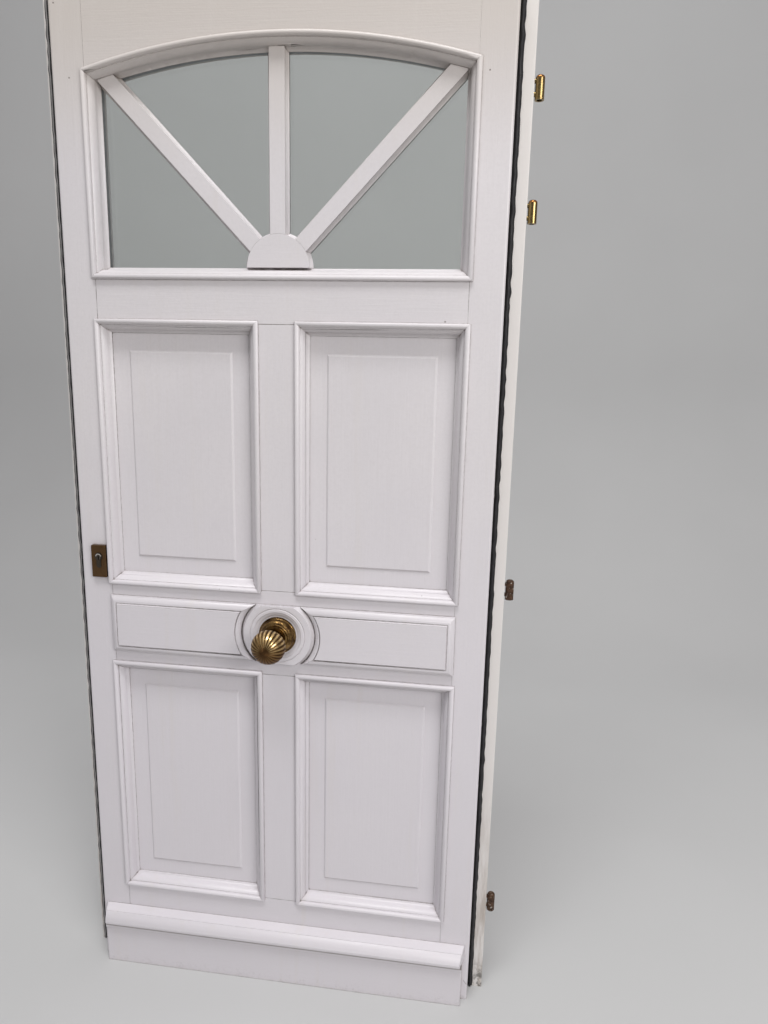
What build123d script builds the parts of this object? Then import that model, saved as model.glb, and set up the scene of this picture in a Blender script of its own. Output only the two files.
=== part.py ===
from build123d import *
import os
from math import atan2, cos, degrees, hypot, pi, radians, sin, sqrt

# Sizes are in millimetres. The model is laid out with x across the leaf, y into it from its
# outside face and z up from its foot. "Proud" counts outward from the outside face.

# Leaf and its rebate
FACE_W = 868.0
FACE_H = 2082.0
BODY_T = 40.0
LIP_T = 18.0
LIP_OVERLAP = 33.0
FRONT_ROUND = 5.5
EDGE_ROUND = 2.0

# Framing. The panels and the sides of the light share what the rails and the head leave.
STILE_W = 66.0
MUNTIN_W = 85.0
BOTTOM_RAIL_H = 203.0
LOCK_RAIL_H = 187.0
FRIEZE_RAIL_H = 88.0
HEAD_H = 147.4
LOWER_PANEL_SHARE = 551.0
UPPER_PANEL_SHARE = 540.0
LIGHT_SHARE = 365.6
ARCH_R = 1343.0
TENON_T = 18.0
TENON_FRONT = 22.0
TENON_L = 38.0
MUNTIN_TENON_L = 25.0
TENON_SHOULDER = 12.0

# Planted mouldings
MOULD_LAP = 6.0
MOULD_W = 25.0
BEAD_W = 10.5
BEAD_H = 8.0
BEAD_FOOT = 2.2
QUIRK_W = 0.8
QUIRK_H = 0.8
ARRIS_U = 19.5
PANEL_ARRIS_DEPTH = 11.0
LIGHT_ARRIS_DEPTH = 13.0
MOULD_TOE = 2.0
OVOLO_FLATNESS = 1.1
COVE_FLATNESS = 0.85
MITRE_REACH = 60.0

# Fielded panels
PANEL_DEPTH = 20.0
PANEL_T = 24.0
PANEL_FIT = 0.8
FIELD_MARGIN = 39.0
FIELD_RAISE = 3.0
FIELD_BEVEL = 4.0
PANEL_BEAD_W = 12.0

# Glazing
GLASS_DEPTH = 27.0
PANE_T = 4.0
SPACER_T = 12.0
SPACER_W = 9.0
GLASS_FIT = 3.0
SPACER_INSET = 4.0
GLASS_BEAD_W = 14.0
BEAD_ROUND = 4.0
BAR_FACE_W = 30.0
BAR_COVE_W = 5.5
RAY_ANGLE = 46.1
RAY_START = 13.0
HUB_R = 62.0
INNER_BAR_T = 9.0

# Dressing of the lock rail. The steps end the border's fillet, ovolo, groove and rise.
BLOCK_H = 127.0
BLOCK_LAP = 2.0
BLOCK_PROUD = 15.0
BLOCK_BORDER = 18.0
BLOCK_STEPS = (1.5, 14.0, 15.5, 17.0)
BLOCK_LOW = 5.25
BLOCK_HIGH = 13.05
BLOCK_GROOVE = 1.2
BLOCK_FLATNESS = 1.05
BLOCK_END_R = 80.0
BLOCK_END_BORDER = 14.0
ROUNDEL_R = 79.0
ROUNDEL_PROUD = 12.0
ROUNDEL_EDGE = 2.5
ROUNDEL_CROWN_R = 72.7
ROUNDEL_FLATNESS = 1.3
ROUNDEL_RING_OUT = 60.0
ROUNDEL_RING_IN = 57.0
ROUNDEL_RING_DEPTH = 1.2
ROUNDEL_RING_SLOPE = 0.8
ROUNDEL_LIP_R = 50.0
ROUNDEL_LIP_SLOPE = 1.5
ROUNDEL_DISH_R = 14.0
ROUNDEL_SEAT = 7.5
ROUNDEL_SEAT_R = 43.0

# Foot
BOARD_INSET = 11.0
BOARD_TAPER = 9.5
BOARD_PROUD = 34.0
BOARD_H = 34.0
BOARD_SHOULDER = 27.9
BOARD_STEP = 1.5
BOARD_LEDGE = 1.0
BOARD_NOSE_R = 26.0
BOARD_NOSE_TOP = 9.2
BOARD_NOSE_FOOT = 4.1
BOARD_UNDERCUT = 2.0
DRIP_R = 2.0
KICK_INSET = 4.5
KICK_H = 108.0
KICK_T = 20.0

# Rubber seal
SEAL_W = 11.0
SEAL_H = 6.5
SEAL_BASE = 1.5
SEAL_EDGE = 3.5
SEAL_FIT = 0.5
SEAL_FOOT = 2.0
SEAL_LOCK_SHIFT = 17.0

# Hinge halves
HINGE_R = 8.5
HINGE_H = 42.0
HINGE_DOME = 6.0
HINGE_GAP = 2.0
PIN_BORE_R = 5.05
PIN_BORE_L = 34.0
STEM_R = 4.0
STEM_L = 38.0
STEM_PITCH = 22.0
STEM_SINK = 2.0
BOTTOM_HINGE_H = 223.5
MIDDLE_HINGE_RISE = 20.0
UPPER_HINGE_DROP = 388.5
TOP_HINGE_DROP = 178.0
HINGE_NAMES = ("bottom", "middle", "upper", "top")

# Knob and its rose
ROSE_R = 40.0
ROSE_PROUD = 26.0
ROSE_RIM = 2.0
ROSE_FLANGE_R = 36.0
ROSE_FLANGE_T = 5.0
ROSE_RIM_ARC = 4.2
ROSE_HOLLOW_ARC = 12.0
ROSE_RING_R = 29.5
ROSE_RING_FOOT = 5.0
ROSE_RING_SIDE = 1.5
ROSE_RING_LEAN = 0.3
ROSE_CROWN_R = 25.0
ROSE_CROWN = 0.5
ROSE_SEAT_FIT = 1.0
ROSE_DISH_ARC = 9.0
NECK_R = 14.0
NECK_WAIST = 0.8
NECK_LAND = 2.0
NECK_SINK = 4.0
KNOB_R = 35.0
KNOB_HALF_DEPTH = 30.5
KNOB_WIDEST = 75.0
FLUTES = 24
FLUTE_W = 4.8
FLUTE_DEPTH = 1.6
FLUTE_RUN_OUT = 1.1
FLUTE_PAST = 1.5
FLUTE_SWEEP = 145.0
KNOB_TIP_R = 3.5
KNOB_BOLT_R = 4.0
KNOB_BOLT_REACH = 62.0
KNOB_BOLT_END = 60.0
BOLT_CAP_R = 9.0
BOLT_CAP_H = 6.0

# Lock
LOCK_DEPTH = 20.0
BACKSET = 42.5
CYLINDER_RISE = 55.0
FOLLOWER_PITCH = 72.0
CASE_L = 58.0
CASE_T = 15.0
CASE_WALL = 1.5
CASE_BELOW = 38.0
CASE_ABOVE = 55.0
PLATE_T = 3.0
PLATE_W = 22.0
PLATE_H = 240.0
BOLT_FIT = 0.3
RUN_FIT = 0.05
SEAT_FIT = 0.5
LATCH_H = 24.0
LATCH_L = 25.0
LATCH_THROW = 12.0
DEADBOLT_H = 24.0
DEADBOLT_L = 30.0
DEADBOLT_THROW = 20.0
TAIL_T = 3.0
TAIL_INSET = 3.0
LATCH_TAIL_H = 10.0
LATCH_FLAT = 1.5
LATCH_TAIL_GAP = 1.3
LATCH_RISE = 12.0
DEADBOLT_GAP = 1.2
GUIDE_GAP = 0.7
GUIDE_R = 2.0
HUB_BARREL_R = 10.0
TRUNNION_R = 8.0
SPINDLE_W = 8.0
LEVER_SWING = 45.0
CAM_ARM_R = 15.7
CAM_ARM_W = 5.0
ARM_T = 5.0
SPRING_ARM_R = 14.5
SPRING_ARM_W = 4.0
LUG_T = 3.5
LUG_BACK = 2.2
LUG_FIT = 1.0
SPRING_R = 2.6
SPRING_WIRE_R = 0.45
SPRING_TURNS = 6
SPRING_L = 26.0
SPRING_HEAD = 1.6
SPINDLE_IN = 14.0
LEDGE_T = 1.5

# Profile cylinder
PROFILE_R = 8.5
PROFILE_LUG_W = 10.0
PROFILE_H = 33.0
CYLINDER_OUT = 9.0
PLUG_R = 6.55
PLUG_PROUD = 0.5
KEYWAY_W = 2.2
KEYWAY_H = 8.0
KEYWAY_L = 8.0
KEYWAY_RISE = 1.5
CAM_T = 9.6
CAM_SLOT_T = 10.0
CAM_RING_R = 7.4
CAM_R = 15.3
CAM_W = 7.0
CYLINDER_SCREW_DROP = 18.5
CYLINDER_SCREW_R = 2.5
CYLINDER_SCREW_HEAD_R = 4.3
CYLINDER_SCREW_PAST = 4.0
CYLINDER_PROUD = 1.0

# Plates and lever
ROSETTE_W = 33.0
ROSETTE_H = 70.0
ROSETTE_T = 8.0
ROSETTE_DROP = 10.5
ROSETTE_CORNER = 2.0
ROSETTE_EDGE = 1.2
INNER_PLATE_W = 38.0
INNER_PLATE_H = 205.0
INNER_PLATE_T = 8.0
INNER_PLATE_RISE = 3.0
PLATE_CORNER = 6.0
PLATE_EDGE = 3.2
LEVER_R = 9.0
LEVER_COLLAR_R = 10.0
LEVER_COLLAR_BACK = 0.5
LEVER_COLLAR_PROUD = 3.0
LEVER_STAND = 45.0
LEVER_L = 118.0
LEVER_BEND_R = 16.0
SCREW_R = 2.0
SCREW_HEAD_R = 3.8
SCREW_HEAD_H = 2.4
SCREW_L = 24.0
SCREW_MARGIN = 10.0

# How far cuts run past a face
PAST = 1.0

# Values that follow from the sizes above
LEAF_T = BODY_T + LIP_T
LEAF_X = FACE_W / 2 + LIP_OVERLAP
LEAF_H = FACE_H + LIP_OVERLAP
OPEN_X = FACE_W / 2 - STILE_W
FREE_H = FACE_H - BOTTOM_RAIL_H - LOCK_RAIL_H - FRIEZE_RAIL_H - HEAD_H
SHARE_H = FREE_H / (LOWER_PANEL_SHARE + UPPER_PANEL_SHARE + LIGHT_SHARE)
LOWER_Z0 = BOTTOM_RAIL_H
LOWER_Z1 = LOWER_Z0 + LOWER_PANEL_SHARE * SHARE_H
UPPER_Z0 = LOWER_Z1 + LOCK_RAIL_H
UPPER_Z1 = UPPER_Z0 + UPPER_PANEL_SHARE * SHARE_H
LIGHT_Z0 = UPPER_Z1 + FRIEZE_RAIL_H
SPRING_Z = LIGHT_Z0 + LIGHT_SHARE * SHARE_H
ARCH_Z = SPRING_Z - sqrt(ARCH_R**2 - OPEN_X**2)
BOSS_Z = (LOWER_Z1 + UPPER_Z0) / 2
GLASS_BACK = GLASS_DEPTH + 2 * PANE_T + SPACER_T
PANEL_BACK = PANEL_DEPTH + PANEL_T
BLOCK_REACH = OPEN_X + BLOCK_LAP
BOARD_W = FACE_W - 2 * BOARD_INSET
KICK_W = BOARD_W - 2 * KICK_INSET
HINGE_CENTRES = (BOTTOM_HINGE_H, UPPER_Z0 + MIDDLE_HINGE_RISE, FACE_H - UPPER_HINGE_DROP,
                 FACE_H - TOP_HINGE_DROP)
HINGE_X = LEAF_X + HINGE_GAP + HINGE_R
HINGE_Y = BODY_T + LIP_T / 2
LOCK_X = -FACE_W / 2 + BACKSET
PLATE_X = -FACE_W / 2
CASE_X = PLATE_X + PLATE_T
CYLINDER_Z = UPPER_Z0 + CYLINDER_RISE
FOLLOWER_Z = CYLINDER_Z + FOLLOWER_PITCH
CASE_Z0 = CYLINDER_Z - CASE_BELOW
CASE_Z1 = FOLLOWER_Z + CASE_ABOVE
PLATE_Z = (CASE_Z0 + CASE_Z1) / 2
BOLT_T = CASE_T - 2 * CASE_WALL - 2 * BOLT_FIT
DEADBOLT_Z = CYLINDER_Z + CAM_R + DEADBOLT_GAP
GUIDE_X = PLATE_X + DEADBOLT_L + GUIDE_R + GUIDE_GAP
LUG_Z = FOLLOWER_Z + LATCH_RISE
LATCH_TAIL_Z = FOLLOWER_Z + CAM_ARM_R + LATCH_TAIL_GAP
SPRING_Z0 = FOLLOWER_Z + SPRING_HEAD - SPRING_L
SPRING_X = LOCK_X + SPRING_ARM_R * cos(radians(LEVER_SWING / 2))
CYLINDER_IN = LEAF_T + INNER_PLATE_T + CYLINDER_PROUD
INNER_PLATE_Z = (CYLINDER_Z + FOLLOWER_Z) / 2 + INNER_PLATE_RISE
LOWEST_MOUTH_Z = HINGE_CENTRES[0] - HINGE_H / 2

# The finished part has its origin on the hinge axis, at the mouth of the lowest pin bore.
TO_PART_FRAME = Location((-HINGE_X, -HINGE_Y, -LOWEST_MOUTH_Z))


# Helpers

def block(x, y, z):
    """A box from three pairs of limits, in any order."""
    size = [abs(b - a) for a, b in (x, y, z)]
    middle = [(a + b) / 2 for a, b in (x, y, z)]
    return Pos(*middle) * Box(*size)


def plate(outline, y_front, y_back):
    """Extrude an outline drawn in the plane of the door between two depths."""
    return extrude(Plane.XZ.offset(-y_back) * outline, amount=y_back - y_front)


def polygon(points):
    """A flat face from its corners."""
    return make_face(Polyline(*points, close=True))


def group(solids):
    """Separate solids that make one node."""
    return Compound(children=list(solids))


def section_plane(start, along, inward):
    """Plane of a moulding's section: its x runs inward, its y outward from the door."""
    return Plane(origin=(start[0], 0, start[1]), x_dir=(inward[0], 0, inward[1]),
                 z_dir=(along[0], 0, along[1]))


def strip(section, start, end, inward):
    """Run a moulding's section along a straight line in the plane of the door."""
    length = hypot(end[0] - start[0], end[1] - start[1])
    along = ((end[0] - start[0]) / length, (end[1] - start[1]) / length)
    return extrude(section_plane(start, along, inward) * section, amount=length)


def mitred(solid, corners):
    """Keep what lies inside a polygon in the plane of the door."""
    return solid & plate(polygon(corners), -MITRE_REACH, LEAF_T + MITRE_REACH)


def arch_strip(section):
    """Turn a moulding's section about the arch's centre, past both sides of the light."""
    half_angle = degrees(atan2(LIGHT_X, arch_height(LIGHT_R, LIGHT_X) - ARCH_Z)) + 2
    angle = radians(half_angle)
    start = (LIGHT_R * sin(angle), ARCH_Z + LIGHT_R * cos(angle))
    inward = (-sin(angle), -cos(angle))
    along = (-cos(angle), sin(angle))
    axis = Axis((0, 0, ARCH_Z), (0, -1, 0))
    return revolve(section_plane(start, along, inward) * section, axis, 2 * half_angle)


def mitred_frame(x, z, section, width):
    """Four strips round a rectangle, mitred at its corners. Their outer edge is the rectangle."""
    outer = [(x[0], z[1]), (x[0], z[0]), (x[1], z[0]), (x[1], z[1])]
    inner = [(x[0] + width, z[1] - width), (x[0] + width, z[0] + width),
             (x[1] - width, z[0] + width), (x[1] - width, z[1] - width)]
    inward = [(1, 0), (0, 1), (-1, 0), (0, -1)]
    strips = []
    for k in range(4):
        after = (k + 1) % 4
        corners = [outer[k], outer[after], inner[after], inner[k]]
        strips.append(mitred(strip(section, outer[k], outer[after], inward[k]), corners))
    return strips


def arch_height(radius, x):
    """Height at which a circle about the arch's centre passes x."""
    return ARCH_Z + sqrt(radius**2 - x**2)


# Framing

def tenon(side, z):
    """Tenon of a rail between two heights, also used to cut its mortise."""
    return block((side * OPEN_X, side * (OPEN_X + TENON_L)), (TENON_FRONT, TENON_FRONT + TENON_T),
                 (z[0] + TENON_SHOULDER, z[1] - TENON_SHOULDER))


def muntin_tenons(z):
    """Tenons at both ends of a muntin, also used to cut their mortises."""
    half = MUNTIN_W / 2 - TENON_SHOULDER
    return block((-half, half), (TENON_FRONT, TENON_FRONT + TENON_T),
                 (z[0] - MUNTIN_TENON_L, z[1] + MUNTIN_TENON_L))


RAILS = {"bottom_rail": (0.0, LOWER_Z0), "lock_rail": (LOWER_Z1, UPPER_Z0),
         "frieze_rail": (UPPER_Z1, LIGHT_Z0)}
TOP_TENON = (SPRING_Z, FACE_H)
UPPER_MUNTIN = (UPPER_Z0, UPPER_Z1)
LOWER_MUNTIN = (LOWER_Z0, LOWER_Z1)


def stile(side):
    """Rebated stile, side -1 at the lock and +1 at the hinges."""
    outline = polygon([(OPEN_X, 0), (FACE_W / 2, 0), (FACE_W / 2, BODY_T), (LEAF_X, BODY_T),
                       (LEAF_X, LEAF_T), (OPEN_X, LEAF_T)])
    outline = fillet([v for v in outline.vertices() if v.X > OPEN_X + PAST and v.Y < PAST], FRONT_ROUND)
    outline = fillet([v for v in outline.vertices() if v.X > LEAF_X - PAST], EDGE_ROUND)
    solid = extrude(outline, LEAF_H)
    solid -= block((0, LEAF_X + PAST), (-PAST, BODY_T), (FACE_H, LEAF_H + PAST))
    if side < 0:
        solid = mirror(solid, Plane.YZ)
    for z in list(RAILS.values()) + [TOP_TENON]:
        solid -= tenon(side, z)
    return solid


def lock_stile():
    """Lock stile with its lock mortise, plate recess, cylinder hole and spindle hole."""
    solid = stile(-1)
    reach = (CASE_X - PAST, CASE_X + CASE_L + SEAT_FIT)
    depth = (LOCK_DEPTH - CASE_T / 2 - SEAT_FIT, LOCK_DEPTH + CASE_T / 2 + SEAT_FIT)
    solid -= block(reach, depth, (CASE_Z0 - SEAT_FIT, CASE_Z1 + SEAT_FIT))
    solid -= faceplate_blank()
    solid -= plate(Pos(LOCK_X, CYLINDER_Z) * euro_profile(SEAT_FIT), -PAST, LEAF_T + PAST)
    solid -= plate(Pos(LOCK_X, FOLLOWER_Z) * Circle(LEVER_COLLAR_R + SEAT_FIT), LOCK_DEPTH, LEAF_T + PAST)
    solid -= plate_screws() + faceplate_screws()
    return solid


def hinge_stile():
    """Hinge stile, drilled for the stems of the hinge halves."""
    solid = stile(1)
    for centre in HINGE_CENTRES:
        solid -= hinge_stems(centre, RUN_FIT)
    return solid


def rail(name):
    """Straight rail with its tenons and the mortises of the muntins that meet it."""
    z = RAILS[name]
    solid = block((-OPEN_X, OPEN_X), (0, LEAF_T), z) + tenon(-1, z) + tenon(1, z)
    solid -= muntin_tenons(UPPER_MUNTIN) + muntin_tenons(LOWER_MUNTIN)
    return solid


def lock_rail():
    """Lock rail with the hole of the knob's bolt."""
    hole = plate(Pos(0, BOSS_Z) * Circle(KNOB_BOLT_R + SEAT_FIT), -PAST, LEAF_T + PAST)
    return rail("lock_rail") - hole


def top_rail():
    """Head of the leaf: straight above, cut to the arch below."""
    height = LEAF_H - SPRING_Z + OPEN_X
    blank = Pos(0, LEAF_H - height / 2) * Rectangle(2 * OPEN_X, height)
    arch = Pos(0, ARCH_Z) * Circle(ARCH_R)
    solid = plate(blank - arch, 0, LEAF_T)
    solid -= block((-LEAF_X, LEAF_X), (-PAST, LEAF_T + PAST), (0, SPRING_Z - PAST))
    solid -= block((-LEAF_X, LEAF_X), (-PAST, BODY_T), (FACE_H, LEAF_H + PAST))
    return solid + tenon(-1, TOP_TENON) + tenon(1, TOP_TENON)


def muntin(z):
    """Upright between two panels, with its tenons."""
    return block((-MUNTIN_W / 2, MUNTIN_W / 2), (0, LEAF_T), z) + muntin_tenons(z)


# Mouldings and beads

def moulding_section(arris_depth, seat_depth):
    """Bead, quirk, ovolo and cove, with a lap on the face and a back that seats on the infill."""
    quirk = BEAD_W + QUIRK_W
    cove_end = (MOULD_W, MOULD_TOE - seat_depth)
    arris = (ARRIS_U, -arris_depth)
    edges = [
        Line((0, 0), (0, BEAD_FOOT)),
        ThreePointArc((0, BEAD_FOOT), (BEAD_W / 2, BEAD_H), (BEAD_W, BEAD_FOOT)),
        Polyline((BEAD_W, BEAD_FOOT), (BEAD_W, QUIRK_H), (quirk, QUIRK_H)),
        RadiusArc((quirk, QUIRK_H), arris, OVOLO_FLATNESS * hypot(quirk - ARRIS_U, QUIRK_H + arris_depth)),
        RadiusArc(arris, cove_end, -COVE_FLATNESS * hypot(MOULD_W - ARRIS_U, arris_depth + cove_end[1])),
        Polyline(cove_end, (MOULD_W, -seat_depth), (MOULD_LAP, -seat_depth), (MOULD_LAP, 0), (0, 0)),
    ]
    return make_face(edges)


def back_bead_section(front_depth, width):
    """Plain bead behind a panel or pane, rounded towards the opening."""
    inner = MOULD_LAP + width
    edges = [
        Polyline((MOULD_LAP, -front_depth), (inner, -front_depth), (inner, BEAD_ROUND - LEAF_T)),
        ThreePointArc((inner, BEAD_ROUND - LEAF_T),
                      (inner - BEAD_ROUND * (1 - cos(pi / 4)), BEAD_ROUND * (1 - cos(pi / 4)) - LEAF_T),
                      (inner - BEAD_ROUND, -LEAF_T)),
        Polyline((inner - BEAD_ROUND, -LEAF_T), (MOULD_LAP, -LEAF_T), (MOULD_LAP, -front_depth)),
    ]
    return make_face(edges)


def opening(side, z):
    """Limits of a panel's opening."""
    return sorted((side * MUNTIN_W / 2, side * OPEN_X)), z


def lapped(limits):
    """Limits of the moulding's outer edge round an opening."""
    x, z = limits
    return (x[0] - MOULD_LAP, x[1] + MOULD_LAP), (z[0] - MOULD_LAP, z[1] + MOULD_LAP)


def panel_moulding(side, z):
    """Four mitred strips round a panel on the left (-1) or the right (+1)."""
    x, z = lapped(opening(1, z))
    strips = mitred_frame(x, z, moulding_section(PANEL_ARRIS_DEPTH, PANEL_DEPTH), MOULD_W)
    return group(strips if side > 0 else [mirror(piece, Plane.YZ) for piece in strips])


def panel_beads():
    """Beads behind all four panels."""
    section = back_bead_section(PANEL_BACK, PANEL_BEAD_W)
    strips = []
    for side in (-1, 1):
        for z in (LOWER_MUNTIN, UPPER_MUNTIN):
            x, z_outer = lapped(opening(side, z))
            strips += mitred_frame(x, z_outer, section, MOULD_LAP + PANEL_BEAD_W)
    return group(strips)


def panel(side, z):
    """Raised and fielded panel: a margin, a bevelled step and a flat field."""
    x, z = opening(side, z)
    size = (x[1] - x[0] - 2 * PANEL_FIT, z[1] - z[0] - 2 * PANEL_FIT)
    middle = ((x[0] + x[1]) / 2, (z[0] + z[1]) / 2)
    inset = 2 * (MOULD_W - MOULD_LAP + FIELD_MARGIN - FIELD_BEVEL - PANEL_FIT)
    board = plate(Pos(*middle) * Rectangle(*size), PANEL_DEPTH, PANEL_BACK)
    foot = Pos(*middle) * Rectangle(size[0] - inset, size[1] - inset)
    slope = degrees(atan2(FIELD_BEVEL, FIELD_RAISE))
    field = extrude(Plane.XZ.offset(-PANEL_DEPTH) * foot, amount=FIELD_RAISE, taper=slope)
    return board + field


# Each side of the light gets a polygon that meets its neighbours on the mitres.
LIGHT_X = OPEN_X + MOULD_LAP
LIGHT_FOOT = LIGHT_Z0 - MOULD_LAP
LIGHT_R = ARCH_R + MOULD_LAP


def light_corners(width):
    """Outer and inner corners of the light's right side for a strip of some width."""
    inner_x = LIGHT_X - width
    return [(LIGHT_X, LIGHT_FOOT), (LIGHT_X, arch_height(LIGHT_R, LIGHT_X)),
            (inner_x, arch_height(LIGHT_R - width, inner_x)), (inner_x, LIGHT_FOOT + width)]


def light_side(section, width, side):
    """Upright strip beside the light."""
    right = light_corners(width)
    foot, head = right[0], right[1]
    solid = mitred(strip(section, foot, (head[0], head[1] + PAST), (-1, 0)), right)
    return solid if side > 0 else mirror(solid, Plane.YZ)


def light_sill(section, width):
    """Strip under the light."""
    foot, inner = light_corners(width)[0], light_corners(width)[3]
    corners = [(-foot[0], foot[1]), foot, inner, (-inner[0], inner[1])]
    return mitred(strip(section, corners[0], corners[1], (0, 1)), corners)


def light_arch(section, width):
    """Curved strip over the light."""
    head, inner = light_corners(width)[1], light_corners(width)[2]
    top = LEAF_H
    corners = [inner, head, (head[0], top), (-head[0], top), (-head[0], head[1]), (-inner[0], inner[1])]
    return mitred(arch_strip(section), corners)


LIGHT_SECTION = moulding_section(LIGHT_ARRIS_DEPTH, GLASS_DEPTH)


def glass_beads():
    """Beads behind the glass."""
    section = back_bead_section(GLASS_BACK, GLASS_BEAD_W)
    width = MOULD_LAP + GLASS_BEAD_W
    return group([light_side(section, width, -1), light_side(section, width, 1),
                  light_sill(section, width), light_arch(section, width)])


# Glass and glazing bars

def light_outline(inset):
    """Outline of the light's opening, made smaller all round."""
    foot = LIGHT_Z0 + inset
    width = 2 * (OPEN_X - inset)
    height = LEAF_H - foot
    blank = Pos(0, foot + height / 2) * Rectangle(width, height)
    return blank & Pos(0, ARCH_Z) * Circle(ARCH_R - inset)


def pane(y_front):
    return plate(light_outline(GLASS_FIT), y_front, y_front + PANE_T)


def glass_spacer():
    outer = light_outline(GLASS_FIT + SPACER_INSET)
    inner = light_outline(GLASS_FIT + SPACER_INSET + SPACER_W)
    return plate(outer - inner, GLASS_DEPTH + PANE_T, GLASS_DEPTH + PANE_T + SPACER_T)


HUB_Z = LIGHT_FOOT + MOULD_W
BAR_DEPTH = LIGHT_ARRIS_DEPTH


def bar_section():
    """Glazing bar with coved sides. Its x runs across and its y outward from the door."""
    face = BAR_FACE_W / 2
    foot = face + BAR_COVE_W
    cove_r = -COVE_FLATNESS * hypot(BAR_COVE_W, GLASS_DEPTH - BAR_DEPTH)
    edges = [
        Line((-face, -BAR_DEPTH), (face, -BAR_DEPTH)),
        RadiusArc((face, -BAR_DEPTH), (foot, -GLASS_DEPTH), cove_r),
        Line((foot, -GLASS_DEPTH), (-foot, -GLASS_DEPTH)),
        RadiusArc((-foot, -GLASS_DEPTH), (-face, -BAR_DEPTH), cove_r),
    ]
    return make_face(edges)


def hub_blank():
    """Half round with a coved rim, at its full circle."""
    cove_r = COVE_FLATNESS * hypot(BAR_COVE_W, GLASS_DEPTH - BAR_DEPTH)
    edges = [
        Line((0, BAR_DEPTH), (HUB_R, BAR_DEPTH)),
        RadiusArc((HUB_R, BAR_DEPTH), (HUB_R + BAR_COVE_W, GLASS_DEPTH), cove_r),
        Polyline((HUB_R + BAR_COVE_W, GLASS_DEPTH), (0, GLASS_DEPTH), (0, BAR_DEPTH)),
    ]
    return Pos(0, 0, HUB_Z) * revolve(make_face(edges), Axis.Y)


def sunburst_hub():
    """Half-round hub on the light's sill."""
    reach = HUB_R + BAR_COVE_W + PAST
    return hub_blank() & block((-reach, reach), (0, LEAF_T), (HUB_Z, HUB_Z + reach))


def glazing_bar(angle, start_z):
    """Bar from the hub to the arch, scribed over both."""
    across = (cos(radians(angle)), -sin(radians(angle)))
    along = (sin(radians(angle)), cos(radians(angle)))
    length = hypot(OPEN_X, ARCH_Z + ARCH_R - start_z)
    start = (0.0, start_z)
    end = (length * along[0], start_z + length * along[1])
    side = LIGHT_X - MOULD_W
    solid = strip(bar_section(), end, start, across)
    solid &= plate(light_outline(ARRIS_U - MOULD_LAP), 0, GLASS_DEPTH)
    solid &= block((-side, side), (0, GLASS_DEPTH), (LIGHT_Z0, LEAF_H))
    solid -= hub_blank()
    solid -= arch_strip(LIGHT_SECTION)
    return solid.solids().sort_by(SortBy.VOLUME)[-1]


def inner_bars():
    """Bars and hub on the room side, cut from one board."""
    half = BAR_FACE_W / 2
    outline = Pos(0, HUB_Z) * Circle(HUB_R)
    for angle in (-(90 - RAY_ANGLE), 0, 90 - RAY_ANGLE):
        start = HUB_Z if angle == 0 else LIGHT_Z0 + RAY_START
        bar = Pos(0, ARCH_R / 4) * Rectangle(2 * half, ARCH_R / 2)
        outline += Pos(0, start) * Rot(0, 0, -angle) * bar
    outline &= light_outline(GLASS_BEAD_W)
    return plate(outline, GLASS_BACK, GLASS_BACK + INNER_BAR_T)


# Lock rail dressing

def block_section(width):
    """Border of a raised block: fillet, ovolo, groove and the rise to its field."""
    fillet_end, ovolo_end, groove_end, rise_end = [step * width / BLOCK_BORDER for step in BLOCK_STEPS]
    groove = BLOCK_HIGH - BLOCK_GROOVE
    ovolo_r = BLOCK_FLATNESS * hypot(ovolo_end - fillet_end, BLOCK_HIGH - BLOCK_LOW)
    edges = [
        Polyline((0, 0), (0, BLOCK_LOW), (fillet_end, BLOCK_LOW)),
        RadiusArc((fillet_end, BLOCK_LOW), (ovolo_end, BLOCK_HIGH), ovolo_r),
        Polyline((ovolo_end, BLOCK_HIGH), (ovolo_end, groove), (groove_end, groove),
                 (rise_end, BLOCK_PROUD), (width, BLOCK_PROUD), (width, 0), (0, 0)),
    ]
    return make_face(edges)


def rail_block(side):
    """Raised block beside the roundel: three straight borders, a curved one and a flat field."""
    top = BLOCK_H / 2
    field_top = top - BLOCK_BORDER
    field_x = BLOCK_REACH - BLOCK_BORDER
    field_r = BLOCK_END_R + BLOCK_END_BORDER
    end_x = sqrt(BLOCK_END_R**2 - top**2)
    field_end_x = sqrt(field_r**2 - field_top**2)
    outer = [(end_x, top), (BLOCK_REACH, top), (BLOCK_REACH, -top), (end_x, -top)]
    inner = [(field_end_x, field_top), (field_x, field_top), (field_x, -field_top),
             (field_end_x, -field_top)]
    straight = block_section(BLOCK_BORDER)
    solid = mitred(strip(straight, outer[1], outer[0], (0, -1)), [outer[1], outer[0], inner[0], inner[1]])
    solid += mitred(strip(straight, outer[2], outer[1], (-1, 0)), [outer[2], outer[1], inner[1], inner[2]])
    solid += mitred(strip(straight, outer[3], outer[2], (0, 1)), [outer[3], outer[2], inner[2], inner[3]])
    wedge = [(0, 0), outer[0], inner[0], (field_r, field_top), (field_r, -field_top), inner[3], outer[3]]
    end_section = Pos(BLOCK_END_R, 0) * mirror(block_section(BLOCK_END_BORDER), Plane.XZ)
    solid += mitred(revolve(end_section, Axis.Y), wedge)
    solid += plate(polygon(inner) - Circle(field_r), -BLOCK_PROUD, 0)
    solid = Pos(0, 0, BOSS_Z) * solid
    return solid if side > 0 else mirror(solid, Plane.YZ)


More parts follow.
